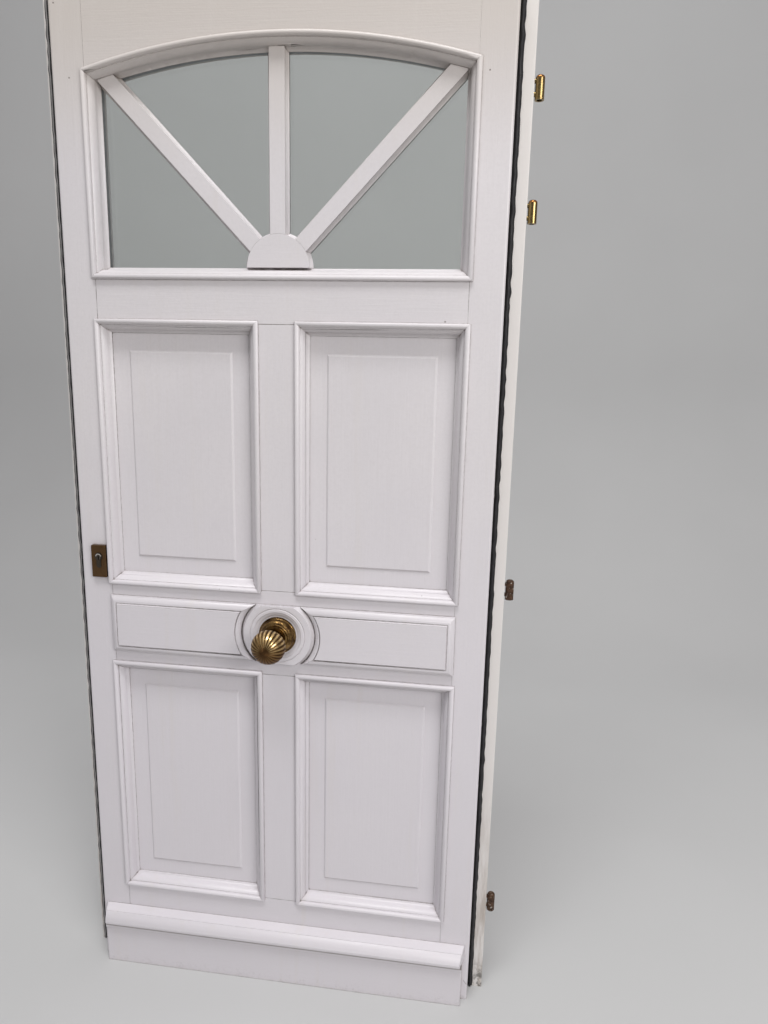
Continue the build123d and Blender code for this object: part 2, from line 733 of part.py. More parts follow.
def centre_roundel():
    """Turned roundel, cut flat above and below, with rings and a dished seat for the rose."""
    bore = KNOB_BOLT_R + RUN_FIT
    face = -ROUNDEL_PROUD
    ring = face + ROUNDEL_RING_DEPTH
    edge = (ROUNDEL_R, -ROUNDEL_EDGE)
    crown = (ROUNDEL_CROWN_R, face)
    lip = (ROUNDEL_LIP_R, face + ROUNDEL_LIP_SLOPE)
    seat = (ROUNDEL_SEAT_R, -ROUNDEL_SEAT)
    edges = [
        Polyline((bore, 0), (ROUNDEL_R, 0), edge),
        RadiusArc(edge, crown, -ROUNDEL_FLATNESS * hypot(edge[0] - crown[0], edge[1] - crown[1])),
        Polyline(crown, (ROUNDEL_RING_OUT, face), (ROUNDEL_RING_OUT - ROUNDEL_RING_SLOPE, ring),
                 (ROUNDEL_RING_IN + ROUNDEL_RING_SLOPE, ring), (ROUNDEL_RING_IN, face),
                 (ROUNDEL_LIP_R + ROUNDEL_LIP_SLOPE, face), lip),
        RadiusArc(lip, seat, ROUNDEL_DISH_R),
        Polyline(seat, (bore, -ROUNDEL_SEAT), (bore, 0)),
    ]
    disc = revolve(make_face(edges), Axis.Y)
    reach = ROUNDEL_R + PAST
    kept = block((-reach, reach), (face - PAST, PAST), (-BLOCK_H / 2, BLOCK_H / 2))
    return Pos(0, 0, BOSS_Z) * (disc & kept)


# Foot of the leaf

def weatherboard():
    """Weatherboard over the kick board: sloped top, rounded nose, drip groove, tapered ends."""
    foot = KICK_H
    shoulder = foot + BOARD_SHOULDER
    ledge = (KICK_T + BOARD_LEDGE, shoulder - BOARD_STEP)
    nose = (BOARD_PROUD, foot + BOARD_NOSE_TOP)
    nose_foot = foot + BOARD_NOSE_FOOT
    lip = BOARD_PROUD - BOARD_UNDERCUT
    edges = [
        Polyline((0, foot), (0, foot + BOARD_H), (KICK_T, shoulder), (KICK_T, ledge[1]), ledge),
        RadiusArc(ledge, nose, BOARD_NOSE_R),
        Polyline(nose, (BOARD_PROUD, nose_foot), (lip, nose_foot), (lip, foot), (0, foot)),
    ]
    section = Plane(origin=(-BOARD_W / 2, 0, 0), x_dir=(0, -1, 0), z_dir=(1, 0, 0))
    flipped = mirror(make_face(edges), Plane.XZ)
    solid = extrude(section * flipped, amount=BOARD_W)
    drip = Pos(0, -(KICK_T + lip) / 2, foot) * Rot(0, 90, 0) * Cylinder(DRIP_R, BOARD_W)
    half = BOARD_W / 2
    nose_half = half - BOARD_TAPER
    taper = polygon([(-half, 0), (half, 0), (nose_half, -BOARD_PROUD), (-nose_half, -BOARD_PROUD)])
    return (solid - drip) & extrude(taper, LEAF_H)


def kick_board():
    """Plain board under the weatherboard, its upright edges rounded."""
    solid = block((-KICK_W / 2, KICK_W / 2), (-KICK_T, 0), (0, KICK_H))
    front = solid.edges().filter_by(Axis.Z).group_by(Axis.Y)[0]
    return fillet(front, EDGE_ROUND)


# Rubber seal

def rebate_seal():
    """Seal in the rebate, in one piece. Its run at the lock sits further out on the lip."""
    base = SEAL_BASE - BODY_T
    far = SEAL_W - SEAL_EDGE
    edges = [
        Polyline((0, -BODY_T), (0, base), (SEAL_EDGE, base)),
        ThreePointArc((SEAL_EDGE, base), (SEAL_W / 2, SEAL_H - BODY_T), (far, base)),
        Polyline((far, base), (SEAL_W, base), (SEAL_W, -BODY_T), (0, -BODY_T)),
    ]
    section = make_face(edges)
    reach = SEAL_FIT + SEAL_W
    left = -FACE_W / 2 - reach - SEAL_LOCK_SHIFT
    right = FACE_W / 2 + reach
    z = FACE_H + reach
    outer = [(left, z), (left, SEAL_FOOT), (right, SEAL_FOOT), (right, z)]
    inner = [(left + SEAL_W, z - SEAL_W), (left + SEAL_W, SEAL_FOOT), (right - SEAL_W, SEAL_FOOT),
             (right - SEAL_W, z - SEAL_W)]
    lock_run = mitred(strip(section, outer[0], outer[1], (1, 0)), [outer[0], outer[1], inner[1], inner[0]])
    hinge_run = mitred(strip(section, outer[2], outer[3], (-1, 0)), [outer[2], outer[3], inner[3], inner[2]])
    head = mitred(strip(section, outer[3], outer[0], (0, -1)), [outer[3], outer[0], inner[0], inner[3]])
    return lock_run + head + hinge_run


# Hinge halves

def hinge_stems(centre, fit=0.0):
    """Two stems that are driven into the edge of the lip."""
    start = LEAF_X - STEM_L
    length = HINGE_X - PIN_BORE_R - STEM_SINK - start
    stem = Pos(start + length / 2, HINGE_Y, 0) * Rot(0, 90, 0) * Cylinder(STEM_R + fit, length)
    return Pos(0, 0, centre - STEM_PITCH / 2) * stem + Pos(0, 0, centre + STEM_PITCH / 2) * stem


def hinge_half(centre):
    """Leaf half of a lift-off hinge: domed barrel, blind pin bore and two stems."""
    foot = centre - HINGE_H / 2
    barrel = Cylinder(HINGE_R, HINGE_H)
    barrel = fillet(barrel.edges().sort_by(Axis.Z)[-1], HINGE_DOME)
    solid = Pos(HINGE_X, HINGE_Y, centre) * barrel + hinge_stems(centre)
    bore = Cylinder(PIN_BORE_R, PIN_BORE_L + PAST)
    return solid - Pos(HINGE_X, HINGE_Y, foot + (PIN_BORE_L - PAST) / 2) * bore


# Knob

def knob_rose():
    """Turned rose: rounded flange, hollow, raised ring and a seat for the knob's neck."""
    bore = KNOB_BOLT_R + RUN_FIT
    rim = (ROSE_R, -ROUNDEL_SEAT - ROSE_RIM)
    flange = (ROSE_FLANGE_R, -ROUNDEL_SEAT - ROSE_FLANGE_T)
    ring_foot = (ROSE_RING_R, ROSE_RING_FOOT - ROSE_PROUD)
    ring_side = (ROSE_RING_R - ROSE_RING_LEAN, ROSE_RING_SIDE - ROSE_PROUD)
    ring_crown = (ROSE_CROWN_R, ROSE_CROWN - ROSE_PROUD)
    seat_r = NECK_R + ROSE_SEAT_FIT
    seat_edge = (seat_r, ROSE_SEAT_FIT - ROSE_PROUD)
    edges = [
        Polyline((bore, -ROUNDEL_SEAT), (ROSE_R, -ROUNDEL_SEAT), rim),
        RadiusArc(rim, flange, -ROSE_RIM_ARC),
        RadiusArc(flange, ring_foot, ROSE_HOLLOW_ARC),
        ThreePointArc(ring_foot, ring_side, ring_crown),
        RadiusArc(ring_crown, seat_edge, ROSE_DISH_ARC),
        Polyline(seat_edge, (seat_r, -ROSE_PROUD), (bore, -ROSE_PROUD), (bore, -ROUNDEL_SEAT)),
    ]
    return Pos(0, 0, BOSS_Z) * revolve(make_face(edges), Axis.Y)


def flute_cutter():
    """Groove with straight flanks, from near the front of a round ball back to its neck."""
    centre = (0, -FLUTE_RUN_OUT, 0)
    top = KNOB_R + FLUTE_PAST
    half = FLUTE_W / 2 * (FLUTE_PAST + FLUTE_DEPTH) / FLUTE_DEPTH
    outline = polygon([(KNOB_R - FLUTE_DEPTH, 0), (top, -half), (top, half)])
    at_front = Plane(origin=centre, x_dir=(0, -1, 0), z_dir=(1, 0, 0)) * outline
    started = at_front.rotate(Axis(centre, (0, 0, 1)), degrees(KNOB_TIP_R / KNOB_R))
    return revolve(started, Axis(centre, (0, 0, 1)), FLUTE_SWEEP)


def door_knob():
    """Ball knob, flattened from front to back and fluted all round, on a short neck."""
    cutters = [Rot(0, 360 / FLUTES * k, 0) * flute_cutter() for k in range(FLUTES)]
    ball = scale(Sphere(KNOB_R) - cutters, by=(1, KNOB_HALF_DEPTH / KNOB_R, 1))
    ball_rear = KNOB_HALF_DEPTH * sqrt(1 - (NECK_R / KNOB_R)**2) - KNOB_WIDEST
    middle = (ball_rear - ROSE_PROUD) / 2
    waist_foot = -ROSE_PROUD - NECK_LAND
    waist_head = ball_rear + NECK_LAND
    sunk = ball_rear - NECK_SINK
    edges = [
        Polyline((0, sunk), (0, -ROSE_PROUD), (NECK_R, -ROSE_PROUD), (NECK_R, waist_foot)),
        ThreePointArc((NECK_R, waist_foot), (NECK_WAIST * NECK_R, middle), (NECK_R, waist_head)),
        Polyline((NECK_R, waist_head), (NECK_R, sunk), (0, sunk)),
    ]
    neck = revolve(make_face(edges), Axis.Y)
    hole = plate(Circle(KNOB_BOLT_R + RUN_FIT), -KNOB_BOLT_REACH, PAST - ROSE_PROUD)
    return Pos(0, 0, BOSS_Z) * (Pos(0, -KNOB_WIDEST, 0) * ball + neck - hole)


def knob_bolt():
    """Bolt from the room side that holds knob and rose, with its cap."""
    shank = plate(Circle(KNOB_BOLT_R), -KNOB_BOLT_END, LEAF_T)
    cap = plate(Circle(BOLT_CAP_R), LEAF_T, LEAF_T + BOLT_CAP_H)
    cap = fillet(cap.faces().sort_by(Axis.Y)[-1].edges(), BOLT_CAP_H / 2)
    return Pos(0, 0, BOSS_Z) * (shank + cap)


# Lock

def euro_profile(grow=0.0):
    """Outline of a profile cylinder about its plug's axis."""
    half = PROFILE_LUG_W / 2 + grow
    foot = PROFILE_H - PROFILE_R - PROFILE_LUG_W / 2
    lug = Pos(0, -foot / 2) * Rectangle(2 * half, foot) + Pos(0, -foot) * Circle(half)
    return Circle(PROFILE_R + grow) + lug


def faceplate_blank():
    """Plate with round ends, let into the leaf's edge."""
    half = PLATE_H / 2 - PLATE_W / 2
    body = block((PLATE_X, PLATE_X + PLATE_T), (LOCK_DEPTH - PLATE_W / 2, LOCK_DEPTH + PLATE_W / 2),
                 (PLATE_Z - half, PLATE_Z + half))
    round_end = Rot(0, 90, 0) * Cylinder(PLATE_W / 2, PLATE_T)
    for end in (-half, half):
        body += Pos(PLATE_X + PLATE_T / 2, LOCK_DEPTH, PLATE_Z + end) * round_end
    return body


def bolt_space(x, z, fit=0.0):
    """Block of a bolt's thickness, with a clearance for the slot that it runs in."""
    half = BOLT_T / 2 + fit
    return block(x, (LOCK_DEPTH - half, LOCK_DEPTH + half), (z[0] - fit, z[1] + fit))


LATCH_Z = (LUG_Z, LUG_Z + LATCH_H)
DEADBOLT_SPAN = (DEADBOLT_Z, DEADBOLT_Z + DEADBOLT_H)


def bolt_slots():
    reach = (PLATE_X - PAST, CASE_X + CASE_WALL + PAST)
    return bolt_space(reach, LATCH_Z, BOLT_FIT) + bolt_space(reach, DEADBOLT_SPAN, BOLT_FIT)


def wood_screw():
    """Countersunk screw along +X, its head's face at x = 0."""
    head = Pos(SCREW_HEAD_H / 2, 0, 0) * Rot(0, 90, 0) * Cone(SCREW_HEAD_R, SCREW_R, SCREW_HEAD_H)
    shank = Pos(SCREW_L / 2, 0, 0) * Rot(0, 90, 0) * Cylinder(SCREW_R, SCREW_L)
    return head + shank


def faceplate_screws():
    reach = PLATE_H / 2 - SCREW_MARGIN
    return [Pos(PLATE_X, LOCK_DEPTH, PLATE_Z + side * reach) * wood_screw() for side in (-1, 1)]


def plate_screws():
    reach = INNER_PLATE_H / 2 - SCREW_MARGIN
    front = LEAF_T + INNER_PLATE_T
    return [Pos(LOCK_X, front, INNER_PLATE_Z + side * reach) * Rot(0, 0, -90) * wood_screw()
            for side in (-1, 1)]


def cylinder_screw():
    """Screw through the faceplate into the cylinder's lug."""
    z = CYLINDER_Z - CYLINDER_SCREW_DROP
    length = BACKSET + CYLINDER_SCREW_PAST
    cone = Rot(0, 90, 0) * Cone(CYLINDER_SCREW_HEAD_R, CYLINDER_SCREW_R, SCREW_HEAD_H)
    shank = Rot(0, 90, 0) * Cylinder(CYLINDER_SCREW_R, length)
    return Pos(PLATE_X, LOCK_DEPTH, z) * (Pos(SCREW_HEAD_H / 2, 0, 0) * cone + Pos(length / 2, 0, 0) * shank)


def faceplate():
    return faceplate_blank() - bolt_slots() - faceplate_screws() - cylinder_screw()


def lock_case():
    """Hollow case with its slots and holes, the deadbolt's guide pin and the spring's ledge."""
    y = (LOCK_DEPTH - CASE_T / 2, LOCK_DEPTH + CASE_T / 2)
    inner_y = (y[0] + CASE_WALL, y[1] - CASE_WALL)
    inner_x = (CASE_X + CASE_WALL, CASE_X + CASE_L - CASE_WALL)
    solid = block((CASE_X, CASE_X + CASE_L), y, (CASE_Z0, CASE_Z1))
    solid -= block(inner_x, inner_y, (CASE_Z0 + CASE_WALL, CASE_Z1 - CASE_WALL))
    solid -= bolt_slots()
    solid -= cylinder_screw()
    solid -= plate(Pos(LOCK_X, CYLINDER_Z) * euro_profile(BOLT_FIT), y[0] - PAST, y[1] + PAST)
    solid -= plate(Pos(LOCK_X, FOLLOWER_Z) * Circle(TRUNNION_R + RUN_FIT), y[0] - PAST, y[1] + PAST)
    pin = Pos(GUIDE_X, DEADBOLT_Z + DEADBOLT_H / 2)
    solid += plate(pin * Circle(GUIDE_R), inner_y[0], inner_y[1])
    solid += block((SPRING_X - 2 * SPRING_R, inner_x[1]), inner_y, (SPRING_Z0 - LEDGE_T, SPRING_Z0))
    return solid


def deadbolt():
    """Deadbolt drawn back: head, thinner tail and the slot that its guide pin runs in."""
    tail_end = GUIDE_X + DEADBOLT_THROW + GUIDE_R + TAIL_INSET
    head = bolt_space((PLATE_X, PLATE_X + DEADBOLT_L), DEADBOLT_SPAN)
    tail = block((PLATE_X + DEADBOLT_L, tail_end), (LOCK_DEPTH - TAIL_T / 2, LOCK_DEPTH + TAIL_T / 2),
                 (DEADBOLT_Z + TAIL_INSET, DEADBOLT_Z + DEADBOLT_H - TAIL_INSET))
    middle = DEADBOLT_Z + DEADBOLT_H / 2
    width = 2 * (GUIDE_R + BOLT_FIT)
    slot = Pos(GUIDE_X + DEADBOLT_THROW / 2, middle) * SlotCenterToCenter(DEADBOLT_THROW, width)
    return head + tail - plate(slot, LOCK_DEPTH - TAIL_T, LOCK_DEPTH + TAIL_T)


def latch_bolt():
    """Latch thrown by its spring: bevelled head, thin tail and the lug that the follower pulls."""
    tip = PLATE_X - LATCH_THROW
    solid = bolt_space((tip, tip + LATCH_L), LATCH_Z)
    front = LOCK_DEPTH - BOLT_T / 2
    flat = LOCK_DEPTH + BOLT_T / 2 - LATCH_FLAT
    bevel_end = PLATE_X - LATCH_FLAT
    bevel = polygon([(tip - PAST, front - PAST), (tip - PAST, flat), (tip, flat), (bevel_end, front),
                     (bevel_end, front - PAST)])
    solid -= Pos(0, 0, LATCH_Z[0] - PAST) * extrude(bevel, LATCH_H + 2 * PAST)
    lug_x = LOCK_X - LUG_BACK
    tail_top = LATCH_TAIL_Z + LATCH_TAIL_H
    y = (LOCK_DEPTH - TAIL_T / 2, LOCK_DEPTH + TAIL_T / 2)
    tail = block((tip + LATCH_L, lug_x + LUG_T), y, (LATCH_TAIL_Z, tail_top))
    lug = block((lug_x, lug_x + LUG_T), y, (LUG_Z + LUG_FIT, tail_top))
    return solid + tail + lug


def arm(length, width, angle):
    """Arm of the follower, at an angle from upright towards the hinges."""
    outline = Pos(0, length / 2) * Rectangle(width, length)
    outline = Pos(LOCK_X, FOLLOWER_Z) * Rot(0, 0, -angle) * outline
    return plate(outline, LOCK_DEPTH - ARM_T / 2, LOCK_DEPTH + ARM_T / 2)


def follower():
    """Follower with trunnions, a square hole, an arm for the latch and one for the spring."""
    centre = Pos(LOCK_X, FOLLOWER_Z)
    inner = BOLT_T / 2 + BOLT_FIT / 2
    solid = plate(centre * Circle(HUB_BARREL_R), LOCK_DEPTH - inner, LOCK_DEPTH + inner)
    solid += plate(centre * Circle(TRUNNION_R), LOCK_DEPTH - CASE_T / 2, LOCK_DEPTH + CASE_T / 2)
    solid += arm(CAM_ARM_R, CAM_ARM_W, -LEVER_SWING / 2)
    solid += arm(SPRING_ARM_R, SPRING_ARM_W, 90 - LEVER_SWING / 2)
    hole = SPINDLE_W + 2 * RUN_FIT
    return solid - plate(centre * Rectangle(hole, hole), 0, LEAF_T)


def follower_spring():
    """Compression spring between the case's ledge and the follower's arm."""
    helix = Helix(pitch=(SPRING_L - 2 * SPRING_WIRE_R) / SPRING_TURNS, height=SPRING_L - 2 * SPRING_WIRE_R,
                  radius=SPRING_R)
    wire = Plane(origin=helix @ 0, z_dir=helix % 0) * Circle(SPRING_WIRE_R)
    coil = sweep(wire, path=helix)
    return Pos(SPRING_X, LOCK_DEPTH, SPRING_Z0 + SPRING_WIRE_R) * coil


def spindle():
    """Square spindle from the follower into the lever."""
    return plate(Pos(LOCK_X, FOLLOWER_Z) * Rectangle(SPINDLE_W, SPINDLE_W), LOCK_DEPTH - CASE_T / 2,
                 LEAF_T + INNER_PLATE_T + SPINDLE_IN)


# Profile cylinder

def plug(y_front, y_back, head):
    """Plug of the cylinder with its keyway. The head is -1 outside and +1 on the room side."""
    solid = plate(Pos(LOCK_X, CYLINDER_Z) * Circle(PLUG_R), y_front, y_back)
    way = Pos(LOCK_X, CYLINDER_Z - KEYWAY_H / 2 + KEYWAY_RISE) * Rectangle(KEYWAY_W, KEYWAY_H)
    if head < 0:
        return solid - plate(way, y_front - PAST, y_front + KEYWAY_L)
    return solid - plate(way, y_back - KEYWAY_L, y_back + PAST)


def outer_plug():
    return plug(-CYLINDER_OUT - PLUG_PROUD, LOCK_DEPTH - CAM_T / 2, -1)


def inner_plug():
    return plug(LOCK_DEPTH + CAM_SLOT_T / 2, CYLINDER_IN + PLUG_PROUD, 1)


def cam():
    """Cam between the two plugs, its nose pointing down."""
    nose = Pos(0, -CAM_R / 2) * Rectangle(CAM_W, CAM_R)
    outline = (Circle(CAM_RING_R) + nose) & Circle(CAM_R)
    return plate(Pos(LOCK_X, CYLINDER_Z) * outline, LOCK_DEPTH - CAM_T / 2, LOCK_DEPTH + CAM_T / 2)


def cylinder_body():
    """Body with both plug bores, the cam's slot and the hole for its screw."""
    centre = Pos(LOCK_X, CYLINDER_Z)
    solid = plate(centre * euro_profile(), -CYLINDER_OUT, CYLINDER_IN)
    solid -= plate(centre * Circle(PLUG_R + RUN_FIT), -CYLINDER_OUT - PAST, CYLINDER_IN + PAST)
    solid -= block((LOCK_X - 2 * PROFILE_R, LOCK_X + 2 * PROFILE_R),
                   (LOCK_DEPTH - CAM_SLOT_T / 2, LOCK_DEPTH + CAM_SLOT_T / 2),
                   (CYLINDER_Z - CAM_R - BOLT_FIT, CYLINDER_Z + 2 * PROFILE_R))
    return solid - cylinder_screw()


# Plates, lever and screws

def soft_plate(z, width, height, y, front, corner, edge):
    """Cover plate on the lock's line. Its front is face 0 (outside) or -1 (room side)."""
    solid = plate(Pos(LOCK_X, z) * RectangleRounded(width, height, corner), *y)
    return fillet(solid.faces().sort_by(Axis.Y)[front].edges(), edge)


def cylinder_rosette():
    solid = soft_plate(CYLINDER_Z - ROSETTE_DROP, ROSETTE_W, ROSETTE_H, (-ROSETTE_T, 0), 0,
                       ROSETTE_CORNER, ROSETTE_EDGE)
    return solid - plate(Pos(LOCK_X, CYLINDER_Z) * euro_profile(BOLT_FIT), -ROSETTE_T - PAST, PAST)


def inner_plate():
    y = (LEAF_T, LEAF_T + INNER_PLATE_T)
    solid = soft_plate(INNER_PLATE_Z, INNER_PLATE_W, INNER_PLATE_H, y, -1, PLATE_CORNER, PLATE_EDGE)
    reach = (LEAF_T - PAST, LEAF_T + INNER_PLATE_T + PAST)
    solid -= plate(Pos(LOCK_X, CYLINDER_Z) * euro_profile(BOLT_FIT), *reach)
    solid -= plate(Pos(LOCK_X, FOLLOWER_Z) * Circle(LEVER_COLLAR_R + RUN_FIT), *reach)
    return solid - plate_screws()


def inner_lever():
    """Lever handle on the room side: collar, bent bar with a round end, square hole."""
    front = LEAF_T + INNER_PLATE_T
    bar_y = front + LEVER_STAND - LEVER_R
    path = FilletPolyline((0, front), (0, bar_y), (LEVER_L, bar_y), radius=LEVER_BEND_R)
    ring = Plane(origin=(0, front, 0), z_dir=(0, 1, 0)) * Circle(LEVER_R)
    bar = sweep(ring, path=path) + Pos(LEVER_L, bar_y, 0) * Sphere(LEVER_R)
    collar = plate(Circle(LEVER_COLLAR_R), LEAF_T + LEVER_COLLAR_BACK, front + LEVER_COLLAR_PROUD)
    hole = SPINDLE_W + 2 * RUN_FIT
    socket = plate(Rectangle(hole, hole), 0, front + SPINDLE_IN + PAST)
    return Pos(LOCK_X, 0, FOLLOWER_Z) * (bar + collar - socket)


def fixing_screws():
    """The four wood screws of the faceplate and the inner plate."""
    return group(faceplate_screws() + plate_screws())


# Nodes

def nodes():
    """Every piece of the door under its name."""
    named = {
        "lock_stile": lock_stile(),
        "hinge_stile": hinge_stile(),
        "top_rail": top_rail(),
        "frieze_rail": rail("frieze_rail"),
        "lock_rail": lock_rail(),
        "bottom_rail": rail("bottom_rail"),
        "upper_muntin": muntin(UPPER_MUNTIN),
        "lower_muntin": muntin(LOWER_MUNTIN),
        "panel_beads": panel_beads(),
        "arch_moulding": light_arch(LIGHT_SECTION, MOULD_W),
        "light_left_moulding": light_side(LIGHT_SECTION, MOULD_W, -1),
        "light_right_moulding": light_side(LIGHT_SECTION, MOULD_W, 1),
        "light_sill_moulding": light_sill(LIGHT_SECTION, MOULD_W),
        "glass_beads": glass_beads(),
        "outer_pane": pane(GLASS_DEPTH),
        "inner_pane": pane(GLASS_BACK - PANE_T),
        "glass_spacer": glass_spacer(),
        "centre_bar": glazing_bar(0, HUB_Z),
        "left_bar": glazing_bar(RAY_ANGLE - 90, LIGHT_Z0 + RAY_START),
        "right_bar": glazing_bar(90 - RAY_ANGLE, LIGHT_Z0 + RAY_START),
        "sunburst_hub": sunburst_hub(),
        "inner_bars": inner_bars(),
        "left_rail_block": rail_block(-1),
        "right_rail_block": rail_block(1),
        "centre_roundel": centre_roundel(),
        "weatherboard": weatherboard(),
        "kick_board": kick_board(),
        "rebate_seal": rebate_seal(),
        "knob_rose": knob_rose(),
        "door_knob": door_knob(),
        "knob_bolt": knob_bolt(),
        "faceplate": faceplate(),
        "lock_case": lock_case(),
        "latch_bolt": latch_bolt(),
        "deadbolt": deadbolt(),
        "follower": follower(),
        "follower_spring": follower_spring(),
        "spindle": spindle(),
        "cylinder_body": cylinder_body(),
        "outer_plug": outer_plug(),
        "inner_plug": inner_plug(),
        "cam": cam(),
        "cylinder_screw": cylinder_screw(),
        "cylinder_rosette": cylinder_rosette(),
        "inner_plate": inner_plate(),
        "inner_lever": inner_lever(),
        "fixing_screws": fixing_screws(),
    }
    for side, place in ((-1, "left"), (1, "right")):
        for z, level in ((LOWER_MUNTIN, "lower"), (UPPER_MUNTIN, "upper")):
            named[f"{level}_{place}_panel"] = panel(side, z)
            named[f"{level}_{place}_moulding"] = panel_moulding(side, z)
    for centre, name in zip(HINGE_CENTRES, HINGE_NAMES):
        named[f"{name}_hinge_half"] = hinge_half(centre)
    return named


os.makedirs("parts", exist_ok=True)
for name, piece in nodes().items():
    export_step(TO_PART_FRAME * piece, f"parts/{name}.step")
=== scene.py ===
import math

import bpy
from mathutils import Matrix, Vector, noise


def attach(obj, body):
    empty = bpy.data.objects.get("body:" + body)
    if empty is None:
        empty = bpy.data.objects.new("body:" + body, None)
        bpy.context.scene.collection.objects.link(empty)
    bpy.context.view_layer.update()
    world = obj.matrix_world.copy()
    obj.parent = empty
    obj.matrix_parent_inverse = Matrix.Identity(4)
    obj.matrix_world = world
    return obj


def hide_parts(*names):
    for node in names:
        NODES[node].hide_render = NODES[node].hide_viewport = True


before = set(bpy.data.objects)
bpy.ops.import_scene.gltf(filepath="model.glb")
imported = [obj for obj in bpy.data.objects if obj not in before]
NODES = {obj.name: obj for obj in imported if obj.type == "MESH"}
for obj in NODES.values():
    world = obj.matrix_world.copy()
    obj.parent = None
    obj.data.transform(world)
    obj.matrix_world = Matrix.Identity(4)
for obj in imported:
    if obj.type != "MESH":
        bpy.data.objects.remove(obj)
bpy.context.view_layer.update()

# Lengths are in metres. Places on the leaf are in its own drawing frame: x from its middle, y into it from
# its outside face, z up from its foot. LEAF is where that frame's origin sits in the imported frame.
LEAF = Vector((-0.4775, -0.049, -0.2025))

# Camera, solved from the photograph's straight lines
FOCAL_PX = 700.8
FRAME_W_PX = 768.0
SENSOR_MM = 36.0
CAM_AT = Vector((0.3934, -1.3624, 1.3968))
CAM_YAW = 0.1276
CAM_PITCH = 0.1980
CAM_ROLL = 0.0233
CAM_NEAR = 0.02
CAM_FAR = 60

# Places on the leaf that the finishes follow
OPEN_X = 0.368
MUNTIN_X = 0.0425
RAIL_LINES = (0.203, 0.754, 0.941, 1.481)
SEAM_TOP = 1.575
BODY_X = 0.434
LIP_Y = 0.040
BOSS_Z = 0.8475
PLUG_AT = (-0.3915, 0.996)
HINGE_TOPS = (1.7145, 1.925)
FLUTES = 24
NAIL_DOTS = ((-0.4214, 2.0516), (-0.3986, 1.9249), (0.387, 1.9168), (0.3256, 1.4903))
CRACK = ((0.4237, 0.0509), (0.4321, 0.0388))


def add_object(name, data):
    obj = bpy.data.objects.new(name, data)
    bpy.context.scene.collection.objects.link(obj)
    return obj


def add_mesh(name, verts, faces, material, smooth=False):
    """New object from vertices and faces. With smooth, its four-sided faces are shaded smooth."""
    mesh = bpy.data.meshes.new(name)
    mesh.from_pydata(verts, [], faces)
    mesh.polygons.foreach_set("use_smooth", [smooth and len(face.vertices) == 4 for face in mesh.polygons])
    mesh.materials.append(material)
    return add_object(name, mesh)


def loft(rings):
    """Vertices and faces of a closed body through rings that have the same count of points."""
    count = len(rings[0])
    faces = []
    for low in range(0, (len(rings) - 1) * count, count):
        for j in range(count):
            after = (j + 1) % count
            faces.append((low + j, low + after, low + count + after, low + count + j))
    end = (len(rings) - 1) * count
    faces += [tuple(range(count))[::-1], tuple(range(end, end + count))]
    return [point for ring in rings for point in ring], faces


def camera_axes(yaw, pitch, roll):
    """Rows: the camera's right, down and forward in the leaf's frame."""
    base = Matrix(((1, 0, 0), (0, 0, -1), (0, 1, 0)))
    cy, sy = math.cos(yaw), math.sin(yaw)
    turn = Matrix(((cy, sy, 0), (-sy, cy, 0), (0, 0, 1)))
    cp, sp = math.cos(pitch), math.sin(pitch)
    tilt = Matrix(((1, 0, 0), (0, cp, -sp), (0, sp, cp)))
    cr, sr = math.cos(roll), math.sin(roll)
    spin = Matrix(((cr, -sr, 0), (sr, cr, 0), (0, 0, 1)))
    return spin @ tilt @ base @ turn


def add_camera():
    """Camera at the photograph's place and angle."""
    data = bpy.data.cameras.new("photo_camera")
    data.sensor_fit = "HORIZONTAL"
    data.sensor_width = SENSOR_MM
    data.lens = FOCAL_PX / FRAME_W_PX * SENSOR_MM
    data.clip_start = CAM_NEAR
    data.clip_end = CAM_FAR
    cam = add_object("photo_camera", data)
    rows = camera_axes(CAM_YAW, CAM_PITCH, CAM_ROLL)
    turn = Matrix((rows[0], -rows[1], -rows[2])).transposed()
    cam.matrix_world = Matrix.Translation(CAM_AT + LEAF) @ turn.to_4x4()
    bpy.context.scene.camera = cam


# Noise patterns: waves per metre (one number, or one for each axis), detail and roughness
PATTERNS = {
    "paint_patches": (3.2, 3, 0.55),
    "paint_mottle": (150, 3, 0.65),
    "paint_peel": (240, 2, 0.5),
    "paint_streaks": ((30, 30, 1.6), 4, 0.6),
    "broad_dust": (46, 3, 0.6),
    "hair_dirt": (95, 3, 0.6),
    "lip_stain": ((60, 60, 9), 4, 0.6),
    "damp": (60, 4, 0.7),
    "splash": (130, 4, 0.7),
    "broken_seam": (34, 3, 0.6),
    "brass_spots": (420, 3, 0.6),
    "brass_wear": (60, 4, 0.62),
    "brass_scratch": ((900, 900, 60), 2, 0.5),
    "knob_cloud": (75, 4, 0.62),
    "knob_spots": (500, 3, 0.6),
    "hinge_streaks": ((520, 520, 14), 3, 0.6),
    "hinge_spots": (380, 3, 0.62),
    "steel_lines": ((40, 900, 900), 3, 0.55),
    "steel_cloud": (70, 3, 0.6),
    "stain_cloud": (120, 5, 0.68),
    "stain_pits": (700, 3, 0.6),
    "paint_flecks": (260, 3, 0.62),
    "plug_wear": (600, 3, 0.6),
    "rubber_cloud": ((90, 90, 22), 4, 0.6),
    "rubber_dust": (180, 4, 0.65),
    "glass_wave": (6.0, 1, 0.4),
    "studio_tone": (1.2, 2, 0.5),
}

# How far a face's normal points down where it starts to count as an underside, and where it fully does
UNDERSIDE_FROM = -0.18
UNDERSIDE_FULL = -0.62
CREASE_SAMPLES = 4
# Share of a drawn line's or dot's half width that is fully dark
SOLID = 0.3


